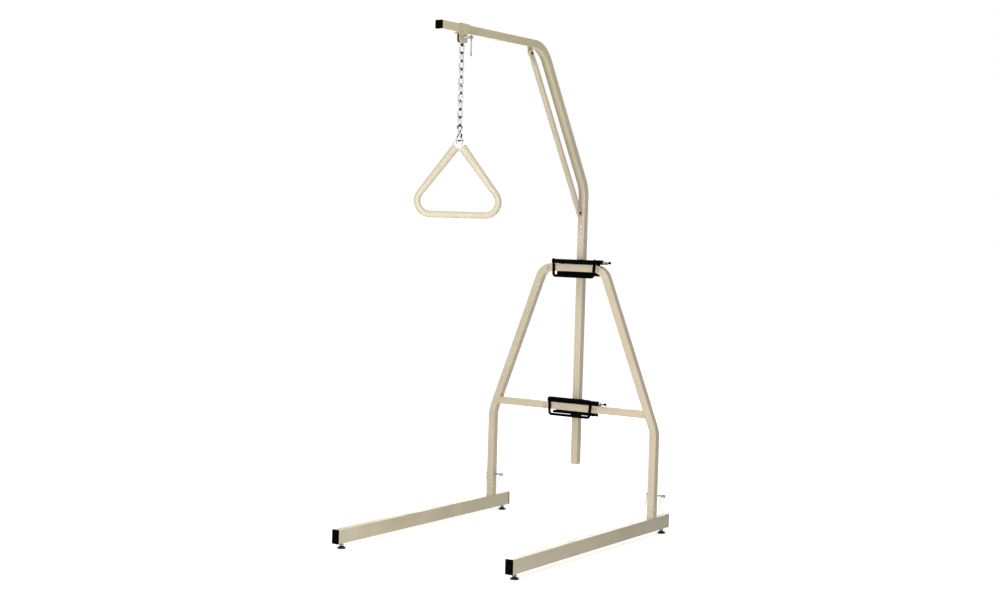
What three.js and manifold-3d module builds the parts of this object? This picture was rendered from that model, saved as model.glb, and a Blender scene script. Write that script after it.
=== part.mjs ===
// Free-standing bed trapeze: two base tubes, a folded A-shaped leg frame, a post with a cranked arm that
// is held on the crossbars by two bail brackets, and a triangle handle on a chain.
// Millimetres. +Z is up, the arm reaches toward -Y, and X runs across the legs.
import * as THREE from "three";
import { mergeVertices } from "three/addons/utils/BufferGeometryUtils.js";
import Module from "manifold-3d";

const wasm = await Module();
wasm.setup();

// Shared fits
const touchGap = 0.3;
const slideGap = 0.4;
const cutReach = 5;
const holeSegments = 16;
const rodSegments = 8;
const nutSides = 6;
const eyeSteps = 12;
const roundSides = 16;
const boreSides = 8;
const bendSteps = 10;
const smallBendSteps = 4;
const capCornerSteps = 2;
const mergeGap = 0.0001;
const stationGap = 0.001;

// Square frame tube
const tubeSize = 25.4;
const tubeWall = 1.6;
const tubeCornerRadius = 2;

// Base tubes and their end caps
const legSpacing = 640;
const baseWidth = 25.4;
const baseHeight = 44.5;
const baseFloorClearance = 18;
const baseFrontReach = 850;
const baseRearReach = 93;
const capHeadThickness = 4;
const capPlugLength = 12;
const capPlugWall = 2;

// Levelling feet
const footFrontInset = 28;
const footRearInset = 21;
const footDiscRadius = 13.5;
const footDiscThickness = 4;
const footNeckRadius = 6;
const footNeckHeight = 9;
const footStemRadius = 4;
const footStemTop = 40;

// Leg frame
const spigotSize = 21.4;
const spigotWall = 2;
const spigotHeight = 110;
const legBendHeights = { left: 362, right: 347 };
const legBendRadius = 100;
const shoulderReaches = { left: 127, right: 109 };
const shoulderRadius = 50;
const lowerCrossbarHeight = 401.7;
const upperCrossbarHeight = 875.2;
const crossbarCentres = { lower: -3, upper: -7.5 };
const crossbarHalfLength = 70;
const crossbarPlugLength = 14;
const tongueLength = 24;
const tongueBelow = 9;
const tongueAbove = 4;
const buttonReach = 98.5;
const buttonDrop = 2.5;
const buttonRadius = 5.2;
const buttonStandHeight = 2.6;
const buttonDomeHeight = 1.4;
const buttonFlangeRadius = 6.8;
const buttonFlangeThickness = 1.5;

// Locking pins at the foot of each leg
const legPinHeight = 138.4;
const legPinRadius = 3;
const legPinTipLength = 23;
const legPinKnobLength = 43;
const legPinKnobRadius = 5.4;
const legPinCollarRadius = 7;
const legPinCollarThickness = 2;
const loopWireRadius = 1.25;
const loopDrop = 47;
const loopEyeInset = 4;

// Post, arm and brace
const postBottomHeight = 203.7;
const postBendRise = 84;
const armHeight = 1594.2;
const armBendReach = 255;
const armReach = 819;
const postBendRadius = 100;
const postHoleRadius = 5;
const postHoleBottomDrop = 3.5;
const postHolePitch = 35.9;
const postHoleCount = 5;
const stopButtonRadius = 3;
const stopButtonHeight = 2;
const stopButtonFrontInset = 43;
const stopButtonRearInset = 163;
const boltRadius = 3;
const boltHeadRadius = 4.6;
const boltHeadHeight = 2.5;
const braceRadius = 9.5;
const braceFlatHalfWidth = 12;
const braceFlatHalfThickness = 3;
const braceFlatLength = 26;
const braceTaperLength = 34;
const braceUpperBoltReach = 327;
const braceUpperBoltDrop = 18.5;
const braceLowerBoltRise = 185.8;
const braceLowerBoltDepth = 20.5;
const braceEndLength = 11;
const lugThickness = 3;
const lugHalfWidth = 13;
const lugEndLength = 8;
const braceTaperSteps = 6;
const flatEndPower = 4;
const roundPower = 2;

// Bail brackets
const bracketLeftReach = 68;
const bracketRightReach = 114;
const webRightReaches = { lower: 95, upper: 84 };
const bracketPlate = 5;
const bracketBottomPlates = { lower: 6, upper: 11 };
const bracketTopPlate = 4;
const bracketVerticalGap = 1.6;
const bracketRearGap = 0.7;
const bracketFrontLip = 0.8;
const webBelowPlateDrops = { lower: 5, upper: 1.5 };
const sleeveWall = 4;
const sleeveBelowDrop = 31;
const sleeveAboveHeight = 24;
const barrelRadius = 6.75;
const barrelForwardReach = 18;
const barrelLeftReach = 74.5;
const barrelRightReach = 77;
const endBlockLeftReach = 87;
const endBlockHeight = 15;
const endBlockDepth = 13.5;
const hingePinRadius = 2.8;
const hingePinRightReach = 136;
const hingePinLeftReach = 84;
const crossPinRadius = 1.2;
const crossPinLength = 16;
const crossPinReach = 121;
const crossPinTiltDegrees = 25;
const ballRadius = 4.8;
const bailWireRadius = 4.1;
const bailEyeWireRadius = 3.4;
const bailEyeRadius = 6.6;
const bailLeftTopReach = 79;
const bailLeftBottomReach = 78;
const bailRightTopReach = 82;
const bailRightBottomReach = 78;
const bailCornerRadius = 8;
const bailBelowBarDrop = 29.2;
const screwBossRadius = 9;
const screwBossLength = 8;
const postScrewRadius = 4;
const postScrewKnobRadius = 12;
const postScrewKnobLength = 12;
const postScrewNeckLength = 4;
const knobInnerShare = 0.8;
const knobOuterShare = 0.85;
const knobInnerBevelShare = 0.25;
const knobOuterBevelShare = 0.17;

// Hanger clamp on the arm
const hangerCentreInset = 116.5;
const strapThickness = 2.5;
const strapLength = 41;
const earGap = 6;
const earDrop = 25.5;
const earChamfer = 7;
const hangerScrewDrop = 13;
const hangerScrewRadius = 3;
const hangerNutRadius = 6.5;
const hangerNutLength = 5;
const hangerHeadReach = 29;
const hangerHeadLength = 10;
const hangerHeadRadius = 5;
const tommyRadius = 1.9;
const tommyKnobRadius = 3;
const tommyLength = 62;

// Chain, hook and handle
const linkCount = 11;
const linkPitch = 24;
const linkWireRadius = 2.4;
const linkInnerWidth = 8.6;
const linkArcSteps = 6;
const linkWireSides = 8;
const linkSteps = linkArcSteps * 2 + 2;
const hookWireRadius = 2.5;
const hookBendRadius = 8.5;
const hookHeight = 49.5;
const hookTipLength = 14;
const hookShoulderLength = 5.5;
const hookBlendRadius = 7;
const handleYawDegrees = 34;
const hookYawDegrees = -11;
const handleTubeRadius = 9.7;
const handleTubeWall = 1.6;
const handleCornerRadius = 40;
const handleCornerHalfWidth = 162.4;
const handleSideHeight = 216;
const handleBarDrop = 224.4;
const hangerPlateThickness = 3;
const hangerPlateHalfWidth = 17.5;
const hangerPlateTopHeight = 9.7;
const hangerPlateCornerDrop = 12.3;
const hangerPlateBottomDrop = 33.3;
const hangerPlateTopHalfWidth = 5;
const hangerHoleHalfWidth = 9;
const hangerHoleHalfHeight = 6.5;
const hangerHoleCornerRadius = 2.5;
const handleSeatGap = 0.6;

// Sizes that follow from the ones above
const half = tubeSize / 2;
const baseTop = baseFloorClearance + baseHeight;
const legX = legSpacing / 2;
const bracketWebFront = half + bracketRearGap;
const postY = bracketWebFront + bracketPlate + sleeveWall + slideGap + half;
const postFront = postY - half;
const sleeveHalf = half + slideGap + sleeveWall;
const hangerY = hangerCentreInset - armReach;
const armBottom = armHeight - half;
const strapBottom = armBottom - slideGap - strapThickness;
const hangerScrewZ = strapBottom + strapThickness - hangerScrewDrop;
const chainTop = hangerScrewZ + hangerScrewRadius;
const chainBottom = chainTop - linkPitch * linkCount;
const hookTopZ = chainBottom + touchGap / 2 + hookWireRadius;
const hookBottomZ = hookTopZ - hookHeight;
const handleSeatZ = hookBottomZ + hookWireRadius + handleSeatGap;

// Surfaces
const finish = (color, roughness, metalness) => ({ color, roughness, metalness });
const beigeEnamel = finish(0xd6c9ad, 0.38, 0.1);
const blackEnamel = finish(0x0b0b0b, 0.35, 0.2);
const blackPlastic = finish(0x0a0a0a, 0.55, 0);
const zinc = finish(0xb9bcbe, 0.28, 0.95);
const darkRubber = finish(0x161616, 0.8, 0);

const group = new THREE.Group();

// Adds one named piece to the model
function addPiece(name, geometry, surface) {
  const mesh = new THREE.Mesh(geometry, new THREE.MeshStandardMaterial(surface));
  mesh.name = name;
  group.add(mesh);
  return mesh;
}

// A closed geometry as a solid for cutting and joining
function solidOf(geometry) {
  const bare = new THREE.BufferGeometry();
  const source = geometry.index ? geometry.toNonIndexed() : geometry;
  bare.setAttribute("position", source.getAttribute("position"));
  const merged = mergeVertices(bare, mergeGap);
  const vertProperties = new Float32Array(merged.getAttribute("position").array);
  const triVerts = new Uint32Array(merged.index.array);
  return new wasm.Manifold(new wasm.Mesh({ numProp: 3, vertProperties, triVerts }));
}

// A solid back as a geometry
function geometryOf(solid) {
  const mesh = solid.getMesh();
  const geometry = new THREE.BufferGeometry();
  geometry.setAttribute("position", new THREE.BufferAttribute(mesh.vertProperties, 3));
  geometry.setIndex(new THREE.BufferAttribute(mesh.triVerts, 1));
  geometry.computeVertexNormals();
  return geometry;
}

function join(...geometries) {
  const solids = geometries.map(solidOf);
  return geometryOf(solids.reduce((sum, next) => sum.add(next)));
}

function cut(body, ...tools) {
  return geometryOf(tools.map(solidOf).reduce((rest, tool) => rest.subtract(tool), solidOf(body)));
}

// A box between two corners
function boxBetween(low, high) {
  const size = high.map((value, axis) => value - low[axis]);
  const centre = high.map((value, axis) => (value + low[axis]) / 2);
  return new THREE.BoxGeometry(...size).translate(...centre);
}

// A cylinder along X, Y or Z, from one coordinate to another on that axis
function rodAlong(axis, radius, from, to, centre, segments = holeSegments) {
  const rod = new THREE.CylinderGeometry(radius, radius, to - from, segments);
  rod.translate(0, (from + to) / 2, 0);
  if (axis === "x") {
    rod.rotateZ(-Math.PI / 2);
  }
  if (axis === "z") {
    rod.rotateX(Math.PI / 2);
  }
  return rod.translate(...centre);
}

// A turned shape about Z from points of [radius, height]
function turned(points, segments = holeSegments) {
  const profile = points.map(([radius, height]) => new THREE.Vector2(radius, height));
  return new THREE.LatheGeometry(profile, segments).rotateX(Math.PI / 2);
}

// A rectangle with round corners, and a hole when a wall is given
function tubeSection(width, height, corner, wall = 0) {
  const section = new THREE.Shape();
  const x = width / 2 - corner;
  const y = height / 2 - corner;
  section.absarc(x, y, corner, 0, Math.PI / 2);
  section.absarc(-x, y, corner, Math.PI / 2, Math.PI);
  section.absarc(-x, -y, corner, Math.PI, Math.PI * 1.5);
  section.absarc(x, -y, corner, Math.PI * 1.5, Math.PI * 2);
  if (wall > 0) {
    const innerX = width / 2 - wall;
    const innerY = height / 2 - wall;
    const bore = new THREE.Path();
    bore.moveTo(-innerX, -innerY);
    bore.lineTo(-innerX, innerY);
    bore.lineTo(innerX, innerY);
    bore.lineTo(innerX, -innerY);
    bore.closePath();
    section.holes.push(bore);
  }
  return section;
}

// A round section, and a hole when a wall is given
function roundSection(radius, wall = 0) {
  const section = new THREE.Shape();
  section.absarc(0, 0, radius, 0, Math.PI * 2);
  if (wall > 0) {
    const bore = new THREE.Path();
    for (let k = 0; k <= boreSides; k += 1) {
      const angle = (-k / boreSides) * Math.PI * 2;
      const corner = [(radius - wall) * Math.cos(angle), (radius - wall) * Math.sin(angle)];
      if (k === 0) {
        bore.moveTo(...corner);
      } else {
        bore.lineTo(...corner);
      }
    }
    section.holes.push(bore);
  }
  return section;
}

// A path of straight runs with round bends: stations lie only at the ends and round each bend
class BentPath extends THREE.Curve {
  constructor(corners, radii, steps = bendSteps) {
    super();
    const vertices = corners.map((corner) => new THREE.Vector3(...corner));
    const along = (from, to) => to.clone().sub(from).normalize();
    const last = vertices.length - 1;
    this.stations = [{ point: vertices[0], tangent: along(vertices[0], vertices[1]) }];
    for (let i = 1; i < last; i += 1) {
      const arrive = along(vertices[i - 1], vertices[i]);
      const leave = along(vertices[i], vertices[i + 1]);
      const turn = arrive.angleTo(leave);
      const inward = leave.clone().addScaledVector(arrive, -leave.dot(arrive)).normalize();
      const radius = Array.isArray(radii) ? radii[i - 1] : radii;
      const start = vertices[i].clone().addScaledVector(arrive, -radius * Math.tan(turn / 2));
      for (let k = 0; k <= steps; k += 1) {
        const angle = (turn * k) / steps;
        const point = start.clone();
        point.addScaledVector(arrive, radius * Math.sin(angle));
        point.addScaledVector(inward, radius * (1 - Math.cos(angle)));
        const tangent = arrive.clone().multiplyScalar(Math.cos(angle));
        tangent.addScaledVector(inward, Math.sin(angle));
        this.stations.push({ point, tangent });
      }
    }
    this.stations.push({ point: vertices[last], tangent: along(vertices[last - 1], vertices[last]) });
    const seen = this.stations;
    this.stations = seen.filter((s, i) => i === 0 || s.point.distanceTo(seen[i - 1].point) > stationGap);
  }

  station(u) {
    return this.stations[Math.round(u * (this.stations.length - 1))];
  }

  getPoint(u, target = new THREE.Vector3()) {
    return target.copy(this.station(u).point);
  }

  getPointAt(u, target) {
    return this.getPoint(u, target);
  }

  getTangentAt(u, target = new THREE.Vector3()) {
    return target.copy(this.station(u).tangent);
  }
}

function sweep(section, path, curveSegments = 1) {
  const steps = path.stations.length - 1;
  return new THREE.ExtrudeGeometry(section, { steps, extrudePath: path, curveSegments });
}

function squareTube(corners, radii, steps) {
  const section = tubeSection(tubeSize, tubeSize, tubeCornerRadius, tubeWall);
  return sweep(section, new BentPath(corners, radii, steps));
}

// A section pushed straight along +Z
function straight(section, depth, curveSegments = 1) {
  return new THREE.ExtrudeGeometry(section, { depth, bevelEnabled: false, curveSegments });
}

// The outside of a frame tube, grown by the touching gap, to cut what is welded against it
function tubeEnvelope(corners, radii) {
  const size = tubeSize + touchGap * 2;
  return sweep(tubeSection(size, size, tubeCornerRadius), new BentPath(corners, radii));
}

function wire(corners, radii, radius, steps = bendSteps) {
  return sweep(roundSection(radius), new BentPath(corners, radii, steps), rodSegments / 2);
}

// A ring of wire round an axis along X
function eyeRing(ringRadius, wireRadius, centre) {
  const ring = new THREE.TorusGeometry(ringRadius, wireRadius, rodSegments, eyeSteps);
  return ring.rotateY(Math.PI / 2).translate(...centre);
}

// Base tubes, caps, feet and the spigots that the legs stand on
function addBase(side, x) {
  const halfWidth = baseWidth / 2;
  const centreZ = baseFloorClearance + baseHeight / 2;
  const footY = [-baseFrontReach + footFrontInset, baseRearReach - footRearInset];
  const footNames = ["front", "rear"];
  const section = tubeSection(baseWidth, baseHeight, tubeCornerRadius, tubeWall);
  const length = baseFrontReach + baseRearReach;
  const rail = straight(section, length).rotateX(Math.PI / 2).translate(x, baseRearReach, centreZ);
  const holeFrom = baseFloorClearance - cutReach;
  const holeTo = baseFloorClearance + tubeWall + cutReach;
  const holes = footY.map((y) => rodAlong("z", footStemRadius + slideGap, holeFrom, holeTo, [x, y, 0]));
  addPiece(`base_tube_${side}`, cut(rail, ...holes), beigeEnamel);

  footY.forEach((y, i) => {
    const profile = [
      [0, 0],
      [footDiscRadius, 0],
      [footDiscRadius, footDiscThickness],
      [footNeckRadius, footNeckHeight],
      [footStemRadius, footNeckHeight],
      [footStemRadius, footStemTop],
      [0, footStemTop],
    ];
    addPiece(`levelling_foot_${footNames[i]}_${side}`, turned(profile).translate(x, y, 0), darkRubber);
  });

  const capEnds = [-baseFrontReach, baseRearReach];
  capEnds.forEach((end, i) => {
    const cap = endPlug(baseWidth, baseHeight);
    if (i === 1) {
      cap.rotateZ(Math.PI);
    }
    cap.translate(x, end, centreZ);
    addPiece(`base_cap_${footNames[i]}_${side}`, cap, blackPlastic);
  });

  const spigotSection = tubeSection(spigotSize, spigotSize, tubeCornerRadius / 2, spigotWall);
  const spigot = straight(spigotSection, spigotHeight).translate(x, 0, baseTop + touchGap);
  const pinHole = rodAlong("x", legPinRadius + slideGap, -tubeSize, tubeSize, [x, 0, legPinHeight]);
  addPiece(`base_spigot_${side}`, cut(spigot, pinHole), beigeEnamel);
}

// A push-in end cap for a tube whose end lies at y = 0 and runs back toward +Y
function endPlug(width, height) {
  const plugWidth = width / 2 - tubeWall - slideGap;
  const plugHeight = height / 2 - tubeWall - slideGap;
  const headSection = tubeSection(width, height, tubeCornerRadius);
  const head = straight(headSection, capHeadThickness, capCornerSteps);
  head.rotateX(Math.PI / 2).translate(0, -touchGap, 0);
  const plug = boxBetween(
    [-plugWidth, -touchGap - capHeadThickness / 2, -plugHeight],
    [plugWidth, capPlugLength, plugHeight],
  );
  const hollow = boxBetween(
    [capPlugWall - plugWidth, 0, capPlugWall - plugHeight],
    [plugWidth - capPlugWall, capPlugLength + cutReach, plugHeight - capPlugWall],
  );
  return cut(join(head, plug), hollow);
}

// One leg of the frame and the crossbar stub welded to it; sign is -1 on the left
function legCorners(side, sign) {
  return [
    [sign * legX, 0, baseTop + touchGap],
    [sign * legX, 0, legBendHeights[side]],
    [sign * shoulderReaches[side], 0, upperCrossbarHeight],
    [crossbarCentres.upper + sign * crossbarHalfLength, 0, upperCrossbarHeight],
  ];
}

const legRadii = [legBendRadius, shoulderRadius];

function buttonHole(x, height) {
  return rodAlong("y", buttonRadius + slideGap, -tubeSize, 0, [x, 0, height - buttonDrop]);
}

function addLeg(side, sign) {
  const tube = squareTube(legCorners(side, sign), legRadii);
  const pinAt = [sign * legX, 0, legPinHeight];
  const pinHole = rodAlong("x", legPinRadius + slideGap, -tubeSize, tubeSize, pinAt);
  const upperHole = buttonHole(crossbarCentres.upper + sign * buttonReach, upperCrossbarHeight);
  addPiece(`leg_${side}`, cut(tube, pinHole, upperHole), beigeEnamel);

  const bendHeight = legBendHeights[side];
  const lean = (legX - shoulderReaches[side]) / (upperCrossbarHeight - bendHeight);
  const stubFrom = legX - Math.max(lowerCrossbarHeight - bendHeight, 0) * lean;
  const stubEnds = [
    [sign * stubFrom, 0, lowerCrossbarHeight],
    [crossbarCentres.lower + sign * crossbarHalfLength, 0, lowerCrossbarHeight],
  ];
  const stub = squareTube(stubEnds, 0);
  const legSpace = tubeEnvelope(legCorners(side, sign), legRadii);
  const hole = buttonHole(crossbarCentres.lower + sign * buttonReach, lowerCrossbarHeight);
  addPiece(`crossbar_stub_${side}`, cut(stub, legSpace, hole), beigeEnamel);
}

// The middle of a crossbar: its reduced ends plug into the legs or the stubs, with a tongue for the button
function addCrossbar(level, height) {
  const middle = crossbarHalfLength - touchGap;
  const reach = crossbarHalfLength + crossbarPlugLength;
  const tube = squareTube([[-middle, 0, height], [middle, 0, height]], 0);
  const plugHalf = half - tubeWall - slideGap;
  const bore = boxBetween(
    [-reach - cutReach, -plugHalf + tubeWall, height - plugHalf + tubeWall],
    [reach + cutReach, plugHalf - tubeWall, height + plugHalf - tubeWall],
  );
  const plugs = [-1, 1].map((sign) => {
    const ends = [sign * (middle - tubeSize), sign * reach].sort((a, b) => a - b);
    return boxBetween([ends[0], -plugHalf, height - plugHalf], [ends[1], plugHalf, height + plugHalf]);
  });
  const tongues = [-1, 1].map((sign) => {
    const from = sign * (reach - crossbarPlugLength / 2);
    const to = sign * (reach + tongueLength);
    return boxBetween(
      [Math.min(from, to), -plugHalf, height - tongueBelow],
      [Math.max(from, to), -plugHalf + tubeWall, height + tongueAbove],
    );
  });
  const filled = boxBetween(
    [-middle, -half + tubeWall / 2, height - half + tubeWall / 2],
    [middle, half - tubeWall / 2, height + half - tubeWall / 2],
  );
  const holes = [-1, 1].map((sign) => buttonHole(sign * buttonReach, height));
  const solid = cut(join(tube, filled, ...plugs, ...tongues), bore, ...holes);
  addPiece(`crossbar_${level}`, solid.translate(crossbarCentres[level], 0, 0), beigeEnamel);
}

// A spring button that locks a plug in its tube: domed in front, with a flange inside the plug
function addButton(level, side, x, height) {
  const flangeTop = half - tubeWall - slideGap - tubeWall - touchGap;
  const shoulder = half + buttonStandHeight - buttonDomeHeight;
  const profile = [
    [0, flangeTop - buttonFlangeThickness],
    [buttonFlangeRadius, flangeTop - buttonFlangeThickness],
    [buttonFlangeRadius, flangeTop],
    [buttonRadius, flangeTop],
    [buttonRadius, shoulder],
    [buttonRadius - buttonDomeHeight, half + buttonStandHeight],
    [0, half + buttonStandHeight],
  ];
  const button = turned(profile).rotateX(Math.PI / 2).translate(x, 0, height - buttonDrop);
  addPiece(`snap_button_${level}_${side}`, button, beigeEnamel);
}

// The pin across the foot of a leg, and the spring wire loop that keeps it there
function addLegPin(side, sign) {
  const x = sign * legX;
  const centre = [x, 0, legPinHeight];
  const shaft = rodAlong("x", legPinRadius, -legPinTipLength, legPinKnobLength, centre, rodSegments);
  const knob = new THREE.SphereGeometry(legPinKnobRadius, holeSegments, rodSegments);
  knob.translate(x + legPinKnobLength, 0, legPinHeight);
  const collarFrom = half + touchGap;
  const collarTo = collarFrom + legPinCollarThickness;
  const collar = rodAlong("x", legPinCollarRadius, collarFrom, collarTo, centre);
  addPiece(`leg_pin_${side}`, join(shaft, knob, collar), zinc);

  const eyeRadius = legPinRadius + slideGap + loopWireRadius;
  const forward = half + touchGap + loopWireRadius;
  const drop = Math.sqrt(loopDrop * loopDrop - forward * forward);
  const direction = [-forward / loopDrop, -drop / loopDrop];
  const hang = (distance) => [direction[0] * distance, legPinHeight + direction[1] * distance];
  const left = x - legPinTipLength + loopEyeInset;
  const right = x + legPinKnobLength - legPinKnobRadius - loopEyeInset;
  const corners = [
    [left, ...hang(eyeRadius)],
    [left, ...hang(loopDrop)],
    [right, ...hang(loopDrop)],
    [right, ...hang(eyeRadius)],
  ];
  const frame = wire(corners, loopEyeInset, loopWireRadius, smallBendSteps);
  const eyes = [left, right].map((eyeX) => eyeRing(eyeRadius, loopWireRadius, [eyeX, 0, legPinHeight]));
  addPiece(`leg_pin_loop_${side}`, join(frame, ...eyes), zinc);
}

// Post and arm in one bent tube, with the adjusting holes, the stop buttons and the brace lugs
const braceLowerBoltHeight = upperCrossbarHeight + braceLowerBoltRise;
const postBendHeight = braceLowerBoltHeight + postBendRise;
const postHoleBottomHeight = upperCrossbarHeight - postHoleBottomDrop;
const braceUpperBolt = [-braceUpperBoltReach, armBottom - braceUpperBoltDrop];
const braceLowerBolt = [postFront - braceLowerBoltDepth, braceLowerBoltHeight];
const lugFace = lugThickness / 2;
const braceSide = lugFace + touchGap + braceFlatHalfThickness;

function addPostAndArm() {
  const corners = [
    [0, postY, postBottomHeight],
    [0, postY, postBendHeight],
    [0, -armBendReach, armHeight],
    [0, -armReach, armHeight],
  ];
  const tube = squareTube(corners, postBendRadius);
  const holes = [];
  for (let i = 0; i < postHoleCount; i += 1) {
    const z = postHoleBottomHeight + i * postHolePitch;
    holes.push(rodAlong("y", postHoleRadius, postFront - cutReach, postFront + cutReach, [0, 0, z]));
  }
  const buttons = [stopButtonFrontInset, stopButtonRearInset].map((inset) => {
    const low = armHeight + half - tubeWall;
    const high = armHeight + half + stopButtonHeight;
    return rodAlong("z", stopButtonRadius, low, high, [0, inset - armReach, 0], rodSegments);
  });
  const upperLug = boxBetween(
    [lugFace - lugThickness, braceUpperBolt[0] - lugHalfWidth, braceUpperBolt[1] - lugEndLength],
    [lugFace, braceUpperBolt[0] + lugHalfWidth, armBottom + tubeWall / 2],
  );
  const lowerLug = boxBetween(
    [lugFace - lugThickness, braceLowerBolt[0] - lugEndLength, braceLowerBolt[1] - lugHalfWidth],
    [lugFace, postFront + tubeWall / 2, braceLowerBolt[1] + lugHalfWidth],
  );
  const boltHoles = [braceUpperBolt, braceLowerBolt].map(([y, z]) => {
    return rodAlong("x", boltRadius + slideGap, -half, half, [0, y, z]);
  });
  const whole = join(tube, ...buttons, upperLug, lowerLug);
  addPiece("post_arm", cut(whole, ...holes, ...boltHoles), beigeEnamel);
  addPiece("arm_cap", endPlug(tubeSize, tubeSize).translate(0, -armReach, armHeight), blackPlastic);
}

// A round bar whose two ends are pressed flat, lofted from oval rings along its length
function addBrace() {
  const low = new THREE.Vector3(braceSide, ...braceLowerBolt);
  const high = new THREE.Vector3(braceSide, ...braceUpperBolt);
  const axis = high.clone().sub(low).normalize();
  const across = new THREE.Vector3(0, -axis.z, axis.y);
  const start = low.clone().addScaledVector(axis, -braceEndLength);
  const length = high.distanceTo(low) + braceEndLength * 2;
  const taper = (distance) => {
    const inside = Math.min(distance, length - distance);
    const share = THREE.MathUtils.smoothstep(inside, braceFlatLength, braceFlatLength + braceTaperLength);
    const halfWidth = THREE.MathUtils.lerp(braceFlatHalfWidth, braceRadius, share);
    const halfThickness = THREE.MathUtils.lerp(braceFlatHalfThickness, braceRadius, share);
    return [halfWidth, halfThickness, THREE.MathUtils.lerp(flatEndPower, roundPower, share)];
  };
  const distances = [0, braceFlatLength];
  for (let i = 1; i <= braceTaperSteps; i += 1) {
    distances.push(braceFlatLength + (braceTaperLength * i) / braceTaperSteps);
  }
  distances.push(...distances.map((d) => length - d).reverse());
  const positions = [];
  for (const distance of distances) {
    const [halfWidth, halfThickness, power] = taper(distance);
    for (let k = 0; k < roundSides; k += 1) {
      const angle = (k / roundSides) * Math.PI * 2;
      const bulge = (value) => Math.sign(value) * Math.abs(value) ** (roundPower / power);
      const point = start.clone().addScaledVector(axis, distance);
      point.addScaledVector(across, halfWidth * bulge(Math.cos(angle)));
      point.x += halfThickness * bulge(Math.sin(angle));
      positions.push(point.x, point.y, point.z);
    }
  }
  const rings = distances.length;
  const index = [];
  for (let r = 0; r < rings - 1; r += 1) {
    for (let k = 0; k < roundSides; k += 1) {
      const a = r * roundSides + k;
      const b = r * roundSides + ((k + 1) % roundSides);
      index.push(a, b, a + roundSides, b, b + roundSides, a + roundSides);
    }
  }
  const lastRing = (rings - 1) * roundSides;
  for (let k = 1; k < roundSides - 1; k += 1) {
    index.push(0, k + 1, k);
    index.push(lastRing, lastRing + k, lastRing + k + 1);
  }
  const bar = new THREE.BufferGeometry();
  bar.setAttribute("position", new THREE.Float32BufferAttribute(positions, 3));
  bar.setIndex(index);
  const holes = [braceUpperBolt, braceLowerBolt].map(([y, z]) => {
    return rodAlong("x", boltRadius + slideGap, -half, half, [0, y, z]);
  });
  addPiece("brace", cut(bar, ...holes), beigeEnamel);
}

function addBraceBolt(level, [y, z]) {
  const outerFace = braceSide + braceFlatHalfThickness + touchGap;
  const innerFace = lugFace - lugThickness - touchGap;
  const shaftTo = outerFace + boltHeadHeight / 2;
  const shaft = rodAlong("x", boltRadius, innerFace - boltHeadHeight, shaftTo, [0, y, z]);
  const head = rodAlong("x", boltHeadRadius, outerFace, outerFace + boltHeadHeight, [0, y, z]);
  const nut = rodAlong("x", boltHeadRadius, innerFace - boltHeadHeight, innerFace, [0, y, z], nutSides);
  addPiece(`brace_bolt_${level}`, join(shaft, head, nut), blackEnamel);
}

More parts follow.
